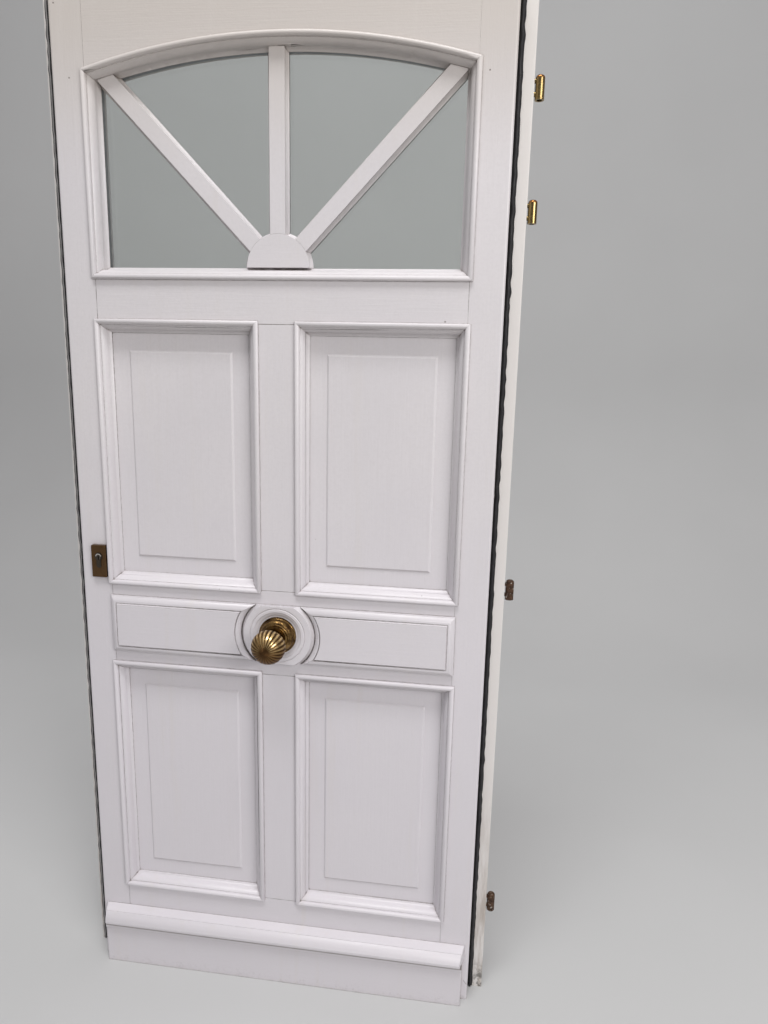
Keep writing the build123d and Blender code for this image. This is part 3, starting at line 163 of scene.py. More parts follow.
class Graph:
    """A material's nodes, put together by short calls. Places are in the leaf's drawing frame."""

    def __init__(self, name):
        self.mat = bpy.data.materials.new(name)
        self.mat.use_nodes = True
        self.tree = self.mat.node_tree
        self.bsdf = self.tree.nodes["Principled BSDF"]
        shift = self.make("ShaderNodeVectorMath", operation="SUBTRACT")
        self.feed(shift.inputs[0], self.make("ShaderNodeTexCoord").outputs["Object"])
        shift.inputs[1].default_value = LEAF
        self.here = shift.outputs[0]

    def make(self, kind, **options):
        node = self.tree.nodes.new(kind)
        for key, value in options.items():
            setattr(node, key, value)
        return node

    def feed(self, socket, value):
        if isinstance(value, bpy.types.NodeSocket):
            self.tree.links.new(value, socket)
        elif value is not None:
            socket.default_value = value

    def maths(self, operation, a, b=None):
        node = self.make("ShaderNodeMath", operation=operation)
        for socket, value in zip(node.inputs, (a, b)):
            self.feed(socket, value)
        return node.outputs[0]

    def plus(self, a, b):
        return self.maths("ADD", a, b)

    def minus(self, a, b):
        return self.maths("SUBTRACT", a, b)

    def size(self, a):
        return self.maths("ABSOLUTE", a)

    def times(self, first, *others):
        for other in others:
            first = self.maths("MULTIPLY", first, other)
        return first

    def most(self, first, *others):
        for other in others:
            first = self.maths("MAXIMUM", first, other)
        return first

    def away(self, a, b):
        """Distance from the place where a and b are both 0."""
        return self.maths("SQRT", self.plus(self.times(a, a), self.times(b, b)))

    def scaled(self, scale, shift=(0, 0, 0)):
        node = self.make("ShaderNodeMapping")
        self.feed(node.inputs["Vector"], self.here)
        node.inputs["Scale"].default_value = scale
        node.inputs["Location"].default_value = shift
        return node.outputs[0]

    def noise(self, vector, scale=1.0, detail=2.0, rough=0.5, bend=0.0):
        node = self.make("ShaderNodeTexNoise")
        self.feed(node.inputs["Vector"], vector)
        node.inputs["Scale"].default_value = scale
        node.inputs["Detail"].default_value = detail
        node.inputs["Roughness"].default_value = rough
        node.inputs["Distortion"].default_value = bend
        return node.outputs["Fac"]

    def pattern(self, name):
        waves, detail, rough = PATTERNS[name]
        if isinstance(waves, tuple):
            return self.noise(self.scaled(waves), 1.0, detail, rough)
        return self.noise(self.here, waves, detail, rough)

    def cells(self, scale):
        node = self.make("ShaderNodeTexVoronoi")
        self.feed(node.inputs["Vector"], self.here)
        node.inputs["Scale"].default_value = scale
        return node

    def span(self, value, low, high, out_low=0.0, out_high=1.0):
        """value from low to high becomes out_low to out_high, smoothly. Low may be the larger."""
        if low > high:
            low, high, out_low, out_high = high, low, out_high, out_low
        node = self.make("ShaderNodeMapRange", interpolation_type="SMOOTHSTEP")
        self.feed(node.inputs["Value"], value)
        for key, number in (("From Min", low), ("From Max", high), ("To Min", out_low), ("To Max", out_high)):
            self.feed(node.inputs[key], number)
        return node.outputs[0]

    def mix(self, fac, a, b):
        node = self.make("ShaderNodeMix", data_type="RGBA")
        self.feed(node.inputs[0], fac)
        self.feed(node.inputs[6], a)
        self.feed(node.inputs[7], b)
        return node.outputs[2]

    def axes(self):
        node = self.make("ShaderNodeSeparateXYZ")
        self.feed(node.inputs[0], self.here)
        return node.outputs

    def facing_down(self):
        """1 on undersides."""
        node = self.make("ShaderNodeSeparateXYZ")
        self.feed(node.inputs[0], self.make("ShaderNodeNewGeometry").outputs["Normal"])
        return self.span(node.outputs[2], UNDERSIDE_FROM, UNDERSIDE_FULL)

    def crease(self, distance):
        """Low where surfaces come close to each other."""
        node = self.make("ShaderNodeAmbientOcclusion", samples=CREASE_SAMPLES)
        node.inputs["Distance"].default_value = distance
        return node.outputs["AO"]

    def line(self, value, at, half):
        """1 on a thin line where value is at."""
        return self.span(self.size(self.minus(value, at)), half, SOLID * half)

    def dot(self, x, z, at, radius):
        """1 inside a small round spot on the face."""
        return self.span(self.away(self.minus(x, at[0]), self.minus(z, at[1])), radius, SOLID * radius)

    def stroke(self, x, z, start, end, half):
        """1 on a thin straight line between two places on the face, fading out just before its ends."""
        length = math.hypot(end[0] - start[0], end[1] - start[1])
        along = ((end[0] - start[0]) / length, (end[1] - start[1]) / length)
        dx = self.minus(x, start[0])
        dz = self.minus(z, start[1])
        across = self.minus(self.times(dx, along[1]), self.times(dz, along[0]))
        gone = self.plus(self.times(dx, along[0]), self.times(dz, along[1]))
        ends = self.span(self.size(self.minus(gone, length / 2)), 0.5 * length, 0.4 * length)
        return self.times(self.line(across, 0.0, half), ends)

    def bump(self, height, strength, depth):
        node = self.make("ShaderNodeBump")
        self.feed(node.inputs["Height"], height)
        node.inputs["Strength"].default_value = strength
        node.inputs["Distance"].default_value = depth
        return node.outputs[0]

    def set(self, **values):
        """Put values on the shader's sockets, with _ for the spaces in their names."""
        for key, value in values.items():
            self.feed(self.bsdf.inputs[key.replace("_", " ")], value)
        return self.mat


def rgb(r, g, b):
    return (r, g, b, 1.0)


# White paint

PAINT = rgb(0.800, 0.770, 0.785)
PAINT_COOL = rgb(0.765, 0.738, 0.760)
PAINT_BRUSHED = rgb(0.705, 0.678, 0.69)
PAINT_MOTTLED = rgb(0.715, 0.685, 0.70)
PAINT_AGED = rgb(0.735, 0.695, 0.665)
PAINT_LOW = rgb(0.765, 0.735, 0.785)
PAINT_TOP_SHADE = rgb(0.635, 0.585, 0.535)
PAINT_LIP_LIT = rgb(0.83, 0.80, 0.77)
# The crease colours below are dust and grime that also stand in for painted shade
DUST_AND_SHADE = rgb(0.40, 0.345, 0.305)
LIP_STAIN = rgb(0.40, 0.34, 0.29)
UNDERSIDE_SHADE = rgb(0.24, 0.205, 0.18)
GRIME_AND_SHADE = rgb(0.155, 0.125, 0.105)
MOULD = rgb(0.030, 0.032, 0.024)

# Waves per metre of the brush marks along each axis, and how much finer the second set of marks is
GRAIN = {"upright": (260, 260, 9), "level": (9, 260, 260), "turned": (190, 190, 190)}
FINE_GRAIN = 2.7
FINE_SHIFT = (3, 1, 2)

# Heights between which each tone, stain or painted shade comes in
LOW_TONE_Z = (1.35, 0.75)
TOP_SHADE_Z = (1.72, 2.06)
LIP_STAIN_Z = (0.60, 0.10)
DAMP_Z = (0.085, 0.004)
SPLASH_Z = (0.030, 0.0)
NOSE_SHADOW_FADE = 0.0012

# How far apart surfaces are that get dust with painted shade, and those that get dirt with painted shade
DUST_SHADE_REACH = 0.014
DIRT_SHADE_REACH = 0.0042

SPECK_CELLS = 40
SPECK_R = 0.055
SPECK_EDGE = 0.02
PAINT_BUMP = 0.0010

# Strength of each layer of the paint
AMOUNT = {
    "brushed": 0.20, "mottled": 0.30, "low_tone": 0.6, "top_shade": 0.85, "streaks": 0.30, "dust_and_shade": 0.45,
    "dirt_and_shade": 0.95, "lip": 0.9, "lip_stain": 0.80, "damp": 0.92, "splash": 0.22, "drip": 0.80, "speck": 0.7,
    "marks": 0.85, "frieze_seam": 0.85, "low_seam": 0.38, "crack": 0.8}

# Joints that show through the paint
SEAM_HALF = 0.0010
SEAM_FADE = 0.004
SEAM_EDGE = 0.0004
FRIEZE_FADE = 0.002
FACE_T = 0.0012
NAIL_R = 0.0022
CRACK_HALF = 0.0009


def face_marks(g, x, y, z):
    """Joints of the framing that show through the paint, nail dots and a fine crack."""
    on_face = g.span(g.size(y), FACE_T, 0.5 * FACE_T)
    in_muntin = g.span(g.size(x), MUNTIN_X + SEAM_EDGE, MUNTIN_X)
    level = g.most(*[g.line(z, at, SEAM_HALF) for at in RAIL_LINES])
    upright = g.line(g.size(x), OPEN_X, SEAM_HALF)
    frieze_z = RAIL_LINES[3]
    at_frieze = g.times(g.span(z, frieze_z - FRIEZE_FADE, frieze_z), g.span(z, SEAM_TOP, SEAM_TOP - SEAM_FADE))
    below = g.span(z, SEAM_TOP, SEAM_TOP - SEAM_FADE, 0.0, AMOUNT["low_seam"])
    upright = g.times(upright, g.most(g.times(at_frieze, AMOUNT["frieze_seam"]), below))
    broken = g.span(g.pattern("broken_seam"), 0.36, 0.60, 0.20, 1.0)
    seams = g.times(g.most(g.times(level, in_muntin), upright), broken)
    dots = g.most(*[g.dot(x, z, at, NAIL_R) for at in NAIL_DOTS])
    crack = g.times(g.stroke(x, z, *CRACK, CRACK_HALF), AMOUNT["crack"])
    return g.times(g.most(seams, dots, crack), on_face)


def paint(name, grain, framing=False, shade=0.28, under=None, dirt_and_shade=1.0):
    """White paint on wood, brushed along the grain, with grime and painted shade in creases, and old joints.

    shade is how dark the painted shade on undersides is, under the height above which the face gets a painted
    shadow, as below the weatherboard's nose, and the last argument how much of the grime and painted shade in
    creases shows.
    """
    g = Graph(name)
    x, y, z = g.axes()
    strokes = g.noise(g.scaled(GRAIN[grain]), detail=3, rough=0.6, bend=0.3)
    fine = g.noise(g.scaled([waves * FINE_GRAIN for waves in GRAIN[grain]], FINE_SHIFT))

    base = g.mix(g.span(g.pattern("paint_patches"), 0.3, 0.7), PAINT_COOL, PAINT)
    base = g.mix(g.span(strokes, 0.35, 0.75, 0.0, AMOUNT["brushed"]), base, PAINT_BRUSHED)
    base = g.mix(g.span(g.pattern("paint_mottle"), 0.40, 0.68, 0.0, AMOUNT["mottled"]), base, PAINT_MOTTLED)
    base = g.mix(g.span(z, *LOW_TONE_Z, 0.0, AMOUNT["low_tone"]), base, PAINT_LOW)
    # Darker and warmer towards the top: painted shade
    base = g.mix(g.span(z, *TOP_SHADE_Z, 0.0, AMOUNT["top_shade"]), base, PAINT_TOP_SHADE)
    base = g.mix(g.span(g.pattern("paint_streaks"), 0.54, 0.80, 0.0, AMOUNT["streaks"]), base, PAINT_AGED)

    # Dust and grime where surfaces come close, darkened by occlusion: dirt and painted shade together
    broad_dust_shade = g.times(g.span(g.crease(DUST_SHADE_REACH), 0.85, 0.30),
                    g.span(g.pattern("broad_dust"), 0.28, 0.70, 0.35, 1.0))
    hair_dirt_shade = g.times(g.span(g.crease(DIRT_SHADE_REACH), 0.78, 0.42),
                   g.span(g.pattern("hair_dirt"), 0.30, 0.62, 0.35, 1.0))
    base = g.mix(g.times(broad_dust_shade, AMOUNT["dust_and_shade"] * dirt_and_shade), base, DUST_AND_SHADE)
    base = g.mix(g.times(hair_dirt_shade, AMOUNT["dirt_and_shade"] * dirt_and_shade), base, GRIME_AND_SHADE)
    # Undersides darkened: painted shade
    base = g.mix(g.times(g.facing_down(), shade), base, UNDERSIDE_SHADE)

    on_lip = g.times(g.span(g.size(x), BODY_X, BODY_X + 0.001), g.span(y, LIP_Y - 0.003, LIP_Y - 0.002))
    # The lip painted warmer, its own tint, and lighter, a painted light against the shade in the rebate
    base = g.mix(g.times(on_lip, AMOUNT["lip"]), base, PAINT_LIP_LIT)
    stained = g.times(on_lip, g.span(z, *LIP_STAIN_Z), g.span(g.pattern("lip_stain"), 0.30, 0.66))
    base = g.mix(g.times(stained, AMOUNT["lip_stain"]), base, LIP_STAIN)

    damp = g.times(g.span(z, *DAMP_Z), g.span(g.pattern("damp"), 0.40, 0.58))
    at_hinge_edge = g.span(x, BODY_X - 0.004, BODY_X + 0.004)
    base = g.mix(g.times(damp, at_hinge_edge, AMOUNT["damp"]), base, MOULD)
    splash = g.times(g.span(z, *SPLASH_Z), g.span(g.pattern("splash"), 0.50, 0.74))
    base = g.mix(g.times(splash, AMOUNT["splash"]), base, GRIME_AND_SHADE)
    # Painted shadow on the face above the given height, as under the weatherboard's nose
    if under:
        base = g.mix(g.span(z, under - NOSE_SHADOW_FADE, under + NOSE_SHADOW_FADE, 0.0, AMOUNT["drip"]), base, GRIME_AND_SHADE)

    # One cell in twenty or so has a speck in its middle
    specks = g.cells(SPECK_CELLS)
    chance = g.make("ShaderNodeSeparateColor")
    g.feed(chance.inputs[0], specks.outputs["Color"])
    reach = g.span(chance.outputs[0], 0.955, 1.0, 0.0, SPECK_R)
    speck = g.span(g.minus(specks.outputs["Distance"], reach), 0.0, -SPECK_EDGE)
    base = g.mix(g.times(speck, AMOUNT["speck"]), base, GRIME_AND_SHADE)

    height = g.plus(g.times(strokes, 0.7), g.times(fine, 0.3))
    height = g.plus(height, g.times(g.pattern("paint_peel"), 0.35))
    if framing:
        marks = face_marks(g, x, y, z)
        base = g.mix(g.times(marks, AMOUNT["marks"]), base, GRIME_AND_SHADE)
        height = g.minus(height, g.times(marks, 1.5))
    rough = g.span(g.plus(strokes, g.times(hair_dirt_shade, 0.8)), 0.3, 1.2, 0.30, 0.58)
    return g.set(Base_Color=base, Roughness=rough, Normal=g.bump(height, 0.36, PAINT_BUMP))


# Metals

BRASS_CREASE = rgb(0.040, 0.024, 0.011)
PLATE_BRIGHT, PLATE_DARK = rgb(0.66, 0.49, 0.22), rgb(0.34, 0.21, 0.085)
ROSE_BRIGHT, ROSE_DARK = rgb(0.30, 0.185, 0.070), rgb(0.050, 0.026, 0.011)
BRONZE_BRIGHT, BRONZE_DARK = rgb(0.165, 0.098, 0.047), rgb(0.062, 0.037, 0.020)
KNOB_SHADED_PATINA = rgb(0.085, 0.043, 0.017)
KNOB_LIT_PATINA = rgb(0.135, 0.078, 0.029)
KNOB_RUBBED_HIGHLIGHT = rgb(0.88, 0.64, 0.31)
KNOB_SHADED_RIB = rgb(0.46, 0.28, 0.115)
KNOB_FRONT_REFLECTION = rgb(0.10, 0.052, 0.022)
KNOB_SPOT = rgb(0.10, 0.055, 0.024)
HINGE_BRIGHT, HINGE_DARK = rgb(0.44, 0.325, 0.142), rgb(0.22, 0.15, 0.062)
HINGE_SPOT = rgb(0.16, 0.095, 0.04)
HINGE_DOME = rgb(0.34, 0.15, 0.045)
HINGE_CREASE = rgb(0.05, 0.035, 0.02)
STEEL = rgb(0.50, 0.50, 0.51)
STEEL_CREASE = rgb(0.03, 0.026, 0.022)
DULL_CYLINDER = rgb(0.105, 0.090, 0.070)
STAIN_LIGHT, STAIN_DARK = rgb(0.125, 0.066, 0.036), rgb(0.042, 0.022, 0.013)
FLECK = rgb(0.66, 0.61, 0.55)
NICKEL_WORN, NICKEL_DULL = rgb(0.17, 0.155, 0.135), rgb(0.085, 0.072, 0.058)
NICKEL_RIM_HIGHLIGHT = rgb(0.86, 0.83, 0.78)
RIM_R = (0.0042, 0.0052)
RIM_UP = (-0.001, 0.003)


def brass(name, bright, dark, low, high, rough):
    """Old brass: bright where it is rubbed, brown in its creases and where it isn't.

    low and high are where wear starts and where it is full, and rough the roughness of worn brass.
    """
    g = Graph(name)
    spots = g.pattern("brass_spots")
    crease = g.crease(0.004)
    worn = g.span(g.plus(g.pattern("brass_wear"), g.times(crease, 0.35)), low, high)
    colour = g.mix(worn, dark, bright)
    colour = g.mix(g.span(crease, 0.80, 0.30, 0.0, 0.9), colour, BRASS_CREASE)
    colour = g.mix(g.span(spots, 0.58, 0.74, 0.0, 0.55), colour, dark)
    height = g.plus(g.times(spots, 0.6), g.times(g.pattern("brass_scratch"), 0.4))
    return g.set(Base_Color=colour, Metallic=1.0, Roughness=g.span(worn, 0.0, 1.0, rough + 0.20, rough),
                 Normal=g.bump(height, 0.25, 0.0003))


def fluted_brass():
    """Brass of the ball knob: ribs bright on the upper half, rubbed and with a painted highlight, brown patina
    in the flutes, darker at the front with a painted dark reflection and below with painted shade.
    """
    g = Graph("fluted_brass")
    x, _, z = g.axes()
    up = g.minus(z, BOSS_Z)
    out = g.away(x, up)
    flute = g.maths("COSINE", g.times(g.maths("ARCTAN2", up, x), float(FLUTES)))
    rib = g.span(flute, 0.35, -0.75)
    upper = g.span(up, -0.014, 0.020)
    cloud = g.pattern("knob_cloud")
    # Lower half darker than the upper: brown patina with painted shade
    colour = g.mix(g.times(upper, g.span(cloud, 0.30, 0.70, 0.5, 1.0)), KNOB_SHADED_PATINA, KNOB_LIT_PATINA)
    # Upper ribs bright: rubbed brass with a painted highlight; lower ribs get a dimmer painted light
    rubbed = g.times(rib, upper, g.span(out, 0.007, 0.016), g.span(cloud, 0.30, 0.60, 0.55, 1.0))
    colour = g.mix(rubbed, colour, KNOB_RUBBED_HIGHLIGHT)
    low_rib = g.times(rib, g.span(up, 0.012, -0.012), g.span(out, 0.009, 0.018), 0.35)
    colour = g.mix(low_rib, colour, KNOB_SHADED_RIB)
    # Dark front of the ball: a painted dark reflection
    colour = g.mix(g.span(out, 0.013, 0.005, 0.0, 0.8), colour, KNOB_FRONT_REFLECTION)
    spots = g.pattern("knob_spots")
    colour = g.mix(g.span(spots, 0.60, 0.74, 0.0, 0.5), colour, KNOB_SPOT)
    return g.set(Base_Color=colour, Metallic=1.0, Roughness=g.span(rubbed, 0.0, 1.0, 0.44, 0.24),
                 Normal=g.bump(spots, 0.22, 0.0003))


def hinge_brass():
    """Drawn brass of the upper hinges, streaked along the barrel, its dome gone orange-brown."""
    g = Graph("hinge_brass")
    _, _, z = g.axes()
    streaks = g.pattern("hinge_streaks")
    spots = g.pattern("hinge_spots")
    colour = g.mix(g.span(streaks, 0.30, 0.66), HINGE_DARK, HINGE_BRIGHT)
    colour = g.mix(g.span(spots, 0.60, 0.74, 0.0, 0.4), colour, HINGE_SPOT)
    dome = g.most(*[g.times(g.span(z, top - 0.0075, top - 0.0045), g.span(z, top + 0.02, top + 0.01))
                    for top in HINGE_TOPS])
    colour = g.mix(g.times(dome, 0.9), colour, HINGE_DOME)
    colour = g.mix(g.span(g.crease(0.006), 0.70, 0.30, 0.0, 0.85), colour, HINGE_CREASE)
    return g.set(Base_Color=colour, Metallic=1.0, Roughness=g.span(spots, 0.3, 0.8, 0.16, 0.34),
                 Normal=g.bump(g.plus(streaks, g.times(spots, 0.5)), 0.12, 0.0002))


def steel(name, base, rough):
    """Brushed metal that is darker in clouds and in its creases."""
    g = Graph(name)
    lines = g.pattern("steel_lines")
    darker = [value * 0.6 for value in base[:3]] + [1.0]
    colour = g.mix(g.span(g.pattern("steel_cloud"), 0.35, 0.75, 0.0, 0.5), base, darker)
    colour = g.mix(g.span(g.crease(0.003), 0.75, 0.35, 0.0, 0.85), colour, STEEL_CREASE)
    return g.set(Base_Color=colour, Metallic=1.0, Roughness=g.span(lines, 0.3, 0.7, rough, rough + 0.18),
                 Normal=g.bump(lines, 0.2, 0.0002))


def stained_hinge():
    """Brown, stained hinge with flecks of white paint."""
    g = Graph("stained_hinge")
    cloud = g.pattern("stain_cloud")
    flecks = g.span(g.pattern("paint_flecks"), 0.640, 0.665)
    colour = g.mix(g.span(cloud, 0.35, 0.68), STAIN_DARK, STAIN_LIGHT)
    colour = g.mix(flecks, colour, FLECK)
    height = g.plus(g.pattern("stain_pits"), g.times(flecks, 0.6))
    return g.set(Base_Color=colour, Metallic=g.span(flecks, 0.0, 1.0, 0.45, 0.0),
                 Roughness=g.span(cloud, 0.3, 0.7, 0.75, 0.52), Normal=g.bump(height, 0.5, 0.0005))


def plug():
    """Nickelled plug, dull on its face, with a painted highlight round the upper half of its rim."""
    g = Graph("plug_nickel")
    x, _, z = g.axes()
    up = g.minus(z, PLUG_AT[1])
    # Bright upper half of the rim: painted highlight
    rim = g.times(g.span(g.away(g.minus(x, PLUG_AT[0]), up), *RIM_R), g.span(up, *RIM_UP))
    wear = g.pattern("plug_wear")
    colour = g.mix(g.span(wear, 0.35, 0.70), NICKEL_DULL, NICKEL_WORN)
    colour = g.mix(rim, colour, NICKEL_RIM_HIGHLIGHT)
    return g.set(Base_Color=colour, Metallic=1.0, Roughness=g.span(rim, 0.0, 1.0, 0.38, 0.16),
                 Normal=g.bump(wear, 0.2, 0.0002))


# Glass, its spacer and the seal

GLASS_TINT = rgb(0.955, 0.975, 0.965)
SPACER = rgb(0.30, 0.31, 0.32)
SPACER_CELLS = 420
RUBBER = rgb(0.011, 0.011, 0.013)
RUBBER_DUSTY = rgb(0.13, 0.12, 0.115)
RUBBER_CREST_HIGHLIGHT = rgb(0.42, 0.405, 0.40)
CREST_RISE = 0.0026
CREST_FADE = 0.0004
CREST_X = (-0.445, -0.450)


def glass():
    g = Graph("clear_glass")
    return g.set(Base_Color=GLASS_TINT, Roughness=0.0, IOR=1.5, Transmission_Weight=1.0,
                 Normal=g.bump(g.pattern("glass_wave"), 0.10, 0.004))


def spacer():
    g = Graph("grey_spacer")
    return g.set(Base_Color=SPACER, Metallic=0.8, Roughness=0.45,
                 Normal=g.bump(g.cells(SPACER_CELLS).outputs["Distance"], 0.4, 0.0006))


def rubber():
    """Black rubber with dust on it and a painted highlight along its crest on the lock side."""
    g = Graph("black_rubber")
    x, y, _ = g.axes()
    cloud = g.pattern("rubber_cloud")
    colour = g.mix(g.span(g.pattern("rubber_dust"), 0.55, 0.78, 0.0, 0.30), RUBBER, RUBBER_DUSTY)
    # Pale band along the crest on the lock side: painted highlight
    crest = g.times(g.span(y, LIP_Y - CREST_RISE, LIP_Y - CREST_RISE - CREST_FADE), g.span(x, *CREST_X))
    colour = g.mix(g.times(crest, 0.8), colour, RUBBER_CREST_HIGHLIGHT)
    return g.set(Base_Color=colour, Roughness=g.span(cloud, 0.3, 0.7, 0.38, 0.66),
                 Normal=g.bump(cloud, 0.6, 0.0012))


# Which finish each node gets

PANELS = ["lower_left_panel", "lower_right_panel", "upper_left_panel", "upper_right_panel"]
PANEL_MOULDINGS = ["lower_left_moulding", "lower_right_moulding", "upper_left_moulding", "upper_right_moulding"]
LIGHT_MOULDINGS = ["light_left_moulding", "light_right_moulding"]
STILES = ["lock_stile", "hinge_stile"]
MUNTINS = ["upper_muntin", "lower_muntin"]
RAILS = ["top_rail", "frieze_rail", "lock_rail", "bottom_rail"]
RAIL_BLOCKS = ["left_rail_block", "right_rail_block"]
SLANTED_BARS = ["left_bar", "right_bar"]
STEEL_PARTS = ["knob_bolt", "faceplate", "lock_case", "latch_bolt", "deadbolt", "follower", "follower_spring",
               "spindle", "cam", "cylinder_screw", "fixing_screws"]

FINISHES = (
    (STILES + MUNTINS, paint("framing_upright", "upright", framing=True)),
    (RAILS, paint("framing_level", "level", framing=True)),
    (LIGHT_MOULDINGS + PANELS + ["centre_bar", "inner_bars"], paint("paint_upright", "upright")),
    (RAIL_BLOCKS + ["light_sill_moulding", "kick_board"], paint("paint_level", "level")),
    (PANEL_MOULDINGS + SLANTED_BARS + ["arch_moulding", "centre_roundel", "panel_beads", "glass_beads"],
     paint("paint_turned", "turned")),
    # The weatherboard gets a deeper painted shade on its undersides
    (["weatherboard"], paint("paint_weatherboard_shade", "level", shade=0.95)),
    (["sunburst_hub"], paint("paint_hub", "level", shade=0.0, dirt_and_shade=0.25)),
    (["door_knob"], fluted_brass()),
    (["knob_rose"], brass("rose_brass", ROSE_BRIGHT, ROSE_DARK, 0.66, 1.02, 0.22)),
    (["cylinder_rosette"], brass("bronze_plate", BRONZE_BRIGHT, BRONZE_DARK, 0.46, 0.86, 0.40)),
    (["inner_plate", "inner_lever"], brass("plate_brass", PLATE_BRIGHT, PLATE_DARK, 0.36, 0.66, 0.24)),
    (["upper_hinge_half", "top_hinge_half"], hinge_brass()),
    (["bottom_hinge_half", "middle_hinge_half"], stained_hinge()),
    (STEEL_PARTS, steel("grey_steel", STEEL, 0.28)),
    (["cylinder_body"], steel("dull_cylinder", DULL_CYLINDER, 0.34)),
    (["outer_plug", "inner_plug"], plug()),
    (["outer_pane", "inner_pane"], glass()),
    (["glass_spacer"], spacer()),
)
for names, finish in FINISHES:
    for name in names:
        NODES[name].data.materials.clear()
        NODES[name].data.materials.append(finish)


# Rounded arrises. The stiles keep theirs sharp, because a bevel would push them past the leaf's edge.

ROUND_TIMBER = 0.0006
ROUND_MOULDING = 0.00025
ROUND_SEGMENTS = 2
ARRIS_ANGLE = math.radians(35)
WELD_REACH = 0.00002
TIMBER = (RAILS + MUNTINS + PANELS + RAIL_BLOCKS + SLANTED_BARS
          + ["kick_board", "weatherboard", "centre_roundel", "sunburst_hub", "centre_bar", "inner_bars"])
MOULDINGS = PANEL_MOULDINGS + LIGHT_MOULDINGS + ["arch_moulding", "light_sill_moulding"]


def soften(obj, width):
    """Round a CAD piece's arrises by modifiers, which leave its own mesh alone."""
    weld = obj.modifiers.new("weld", "WELD")
    weld.merge_threshold = WELD_REACH
    bevel = obj.modifiers.new("round", "BEVEL")
    bevel.width = width
    bevel.segments = ROUND_SEGMENTS
    bevel.limit_method = "ANGLE"
    bevel.angle_limit = ARRIS_ANGLE
    bevel.use_clamp_overlap = False
    bevel.harden_normals = True


for names, width in ((TIMBER, ROUND_TIMBER), (MOULDINGS, ROUND_MOULDING)):
    for name in names:
        soften(NODES[name], width)


# Rubber seal, a soft strip that wanders a little along the rebate

SEAL_W = 0.011
SEAL_FOOT = 0.002
SEAL_STEP = 0.006
SEAL_LOCK_X = -0.4585
SEAL_HINGE_X = 0.440
SEAL_HEAD_Z = 2.088
# Most that it strays sideways, and the share by which its width changes
SEAL_WANDER = 0.0020
SEAL_SWELL = 0.20
# Change of the two noises from one station to the next, and where each starts
WANDER_STEP, WANDER_START = 0.29, (2.0, 0.0)
SWELL_STEP, SWELL_START = 0.37, (9.0, 4.0)
# Share of the full width and height on the lock side
SEAL_LOCK_SCALE = (0.72, 0.55)
SEAL_INNER_LIMIT = -0.5 * SEAL_W - 0.0003
# Share of the width from the middle line, and height over the lip
SEAL_SECTION = ((-0.5, 0.0), (-0.5, 0.0015), (-0.33, 0.0019), (-0.22, 0.0043), (-0.08, 0.0060),
                (0.08, 0.0062), (0.22, 0.0045), (0.33, 0.0018), (0.5, 0.0015), (0.5, 0.0))


def seal_stations():
    """Places along the seal's middle line, each with the direction across it."""
    def run(start, end, across):
        count = max(2, round((end - start).length / SEAL_STEP))
        return [(start.lerp(end, k / count), across) for k in range(count + 1)]

    foot_lock, head_lock = Vector((SEAL_LOCK_X, SEAL_FOOT)), Vector((SEAL_LOCK_X, SEAL_HEAD_Z))
    head_hinge, foot_hinge = Vector((SEAL_HINGE_X, SEAL_HEAD_Z)), Vector((SEAL_HINGE_X, SEAL_FOOT))
    lock_run = run(foot_lock, head_lock, Vector((-1, 0)))
    head_run = run(head_lock, head_hinge, Vector((0, 1)))
    hinge_run = run(head_hinge, foot_hinge, Vector((1, 0)))
    corner_lock = (head_lock, Vector((-1, 1)))
    corner_hinge = (head_hinge, Vector((1, 1)))
    return lock_run[:-1] + [corner_lock] + head_run[1:-1] + [corner_hinge] + hinge_run[1:]


def seal_ring(k, at, across):
    """The seal's section at station k."""
    drift = SEAL_WANDER * noise.noise(Vector((k * WANDER_STEP, *WANDER_START)))
    swell = 1 + SEAL_SWELL * noise.noise(Vector((k * SWELL_STEP, *SWELL_START)))
    wide, tall = SEAL_LOCK_SCALE if at.x < SEAL_LOCK_X + SEAL_STEP else (1.0, 1.0)
    ring = []
    for share, rise in SEAL_SECTION:
        place = at + max(share * SEAL_W * swell * wide + drift, SEAL_INNER_LIMIT) * across
        ring.append(LEAF + Vector((place.x, LIP_Y - rise * tall, place.y)))
    return ring


def add_seal():
    rings = [seal_ring(k, at, across) for k, (at, across) in enumerate(seal_stations())]
    obj = add_mesh("seal_strip", *loft(rings), rubber(), smooth=True)
    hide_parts("rebate_seal")
    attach(obj, "leaf")


add_seal()


# Small bead under the weatherboard's nose

BEAD_W = 0.837
BEAD_FOOT = 0.0905
BEAD_TOP = 0.108
BEAD_T = 0.0036
# Height above which the bead has a painted shadow from the nose
BEAD_SHADOW_Z = 0.0985
BEAD_ARC_POINTS = 9
KICK_Y = -0.020


def add_bead():
    """Strip with a rounded lower edge, planted on the kick board under the weatherboard."""
    section = [(0.0, BEAD_TOP)]
    for k in range(BEAD_ARC_POINTS):
        a = math.radians(90 * k / (BEAD_ARC_POINTS - 1))
        section.append((BEAD_T * math.sin(a), BEAD_FOOT + BEAD_T * (1 - math.cos(a))))
    section.append((BEAD_T, BEAD_TOP))
    rings = [[LEAF + Vector((x, KICK_Y - out, z)) for out, z in section] for x in (-BEAD_W / 2, BEAD_W / 2)]
    obj = add_mesh("weather_bead", *loft(rings), paint("paint_bead", "level", under=BEAD_SHADOW_Z))
    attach(obj, "leaf")


add_bead()


# Studio

STAGE_HALF_W = 16.0
STAGE_FRONT_Y = -16.0
STAGE_BACK_Y = 3.2
STAGE_BEND = 1.4
STAGE_BEND_STEPS = 16
STAGE_TOP = 4.2
PAPER_DARK, PAPER_LIGHT = rgb(0.58, 0.585, 0.585), rgb(0.62, 0.625, 0.625)

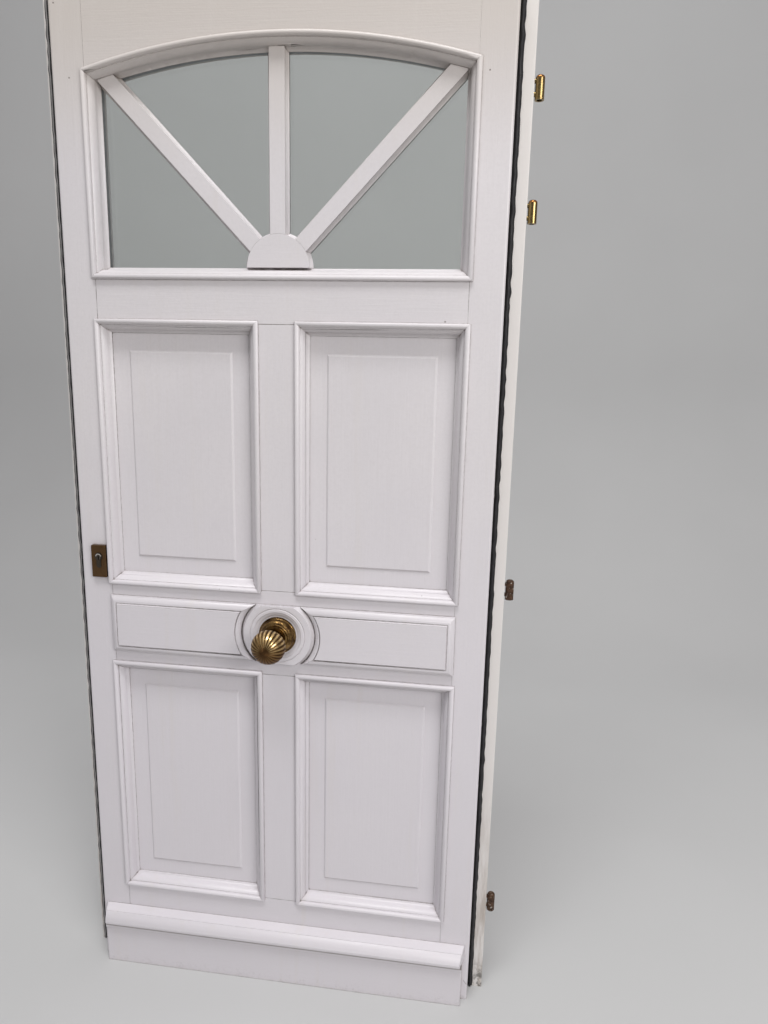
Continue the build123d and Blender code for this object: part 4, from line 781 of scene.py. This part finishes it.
# Name, place, what it points at, size, power in watts, colour
LIGHTS = (
    ("upper_right", (2.3, -2.9, 2.3), (-0.1, 0.0, 1.0), (2.0, 1.6), 66, (1.0, 0.975, 0.955)),
    ("overhead", (-0.47, -1.9, 5.8), (-0.47, -0.05, 0.9), (3.0, 1.4), 150, (1.0, 1.0, 1.0)),
)
SKY_COLOUR = rgb(1.0, 0.965, 0.975)
SKY_HORIZON = 0.08
SKY_ZENITH = 0.54


def add_stage():
    """Pale floor that curves up into a backdrop behind the leaf."""
    profile = [(STAGE_FRONT_Y, 0.0)]
    for k in range(STAGE_BEND_STEPS + 1):
        a = math.radians(90 * k / STAGE_BEND_STEPS)
        profile.append((STAGE_BACK_Y - STAGE_BEND + STAGE_BEND * math.sin(a), STAGE_BEND * (1 - math.cos(a))))
    profile.append((STAGE_BACK_Y, STAGE_TOP))
    verts = [(x, y, LEAF.z + z) for y, z in profile for x in (-STAGE_HALF_W, STAGE_HALF_W)]
    faces = [(2 * k, 2 * k + 1, 2 * k + 3, 2 * k + 2) for k in range(len(profile) - 1)]
    g = Graph("studio_paper")
    tone = g.span(g.pattern("studio_tone"), 0.0, 1.0)
    paper = g.set(Base_Color=g.mix(tone, PAPER_DARK, PAPER_LIGHT), Roughness=0.9)
    add_mesh("backdrop", verts, faces, paper, smooth=True)


def add_light(name, at, aim, size, power, colour):
    """Soft box that lights the leaf and isn't seen itself, also not through the glass."""
    data = bpy.data.lights.new(name, "AREA")
    data.shape = "RECTANGLE"
    data.size, data.size_y = size
    data.energy = power
    data.color = colour
    obj = add_object(name, data)
    obj.location = at
    obj.rotation_euler = (Vector(aim) - Vector(at)).to_track_quat("-Z", "Y").to_euler()
    obj.visible_camera = False
    obj.visible_transmission = False


def add_world():
    """Soft light like an overcast sky: bright above, dim at the horizon."""
    world = bpy.data.worlds.new("studio")
    world.use_nodes = True
    bpy.context.scene.world = world
    tree = world.node_tree
    back = tree.nodes["Background"]
    coords = tree.nodes.new("ShaderNodeTexCoord")
    split = tree.nodes.new("ShaderNodeSeparateXYZ")
    tree.links.new(coords.outputs["Generated"], split.inputs[0])
    rise = tree.nodes.new("ShaderNodeMapRange")
    tree.links.new(split.outputs[2], rise.inputs["Value"])
    rise.inputs["To Min"].default_value = SKY_HORIZON
    rise.inputs["To Max"].default_value = SKY_ZENITH
    tree.links.new(rise.outputs[0], back.inputs["Strength"])
    back.inputs["Color"].default_value = SKY_COLOUR


add_camera()
add_stage()
add_world()
for light in LIGHTS:
    add_light(*light)
bpy.context.scene.view_settings.view_transform = "Standard"
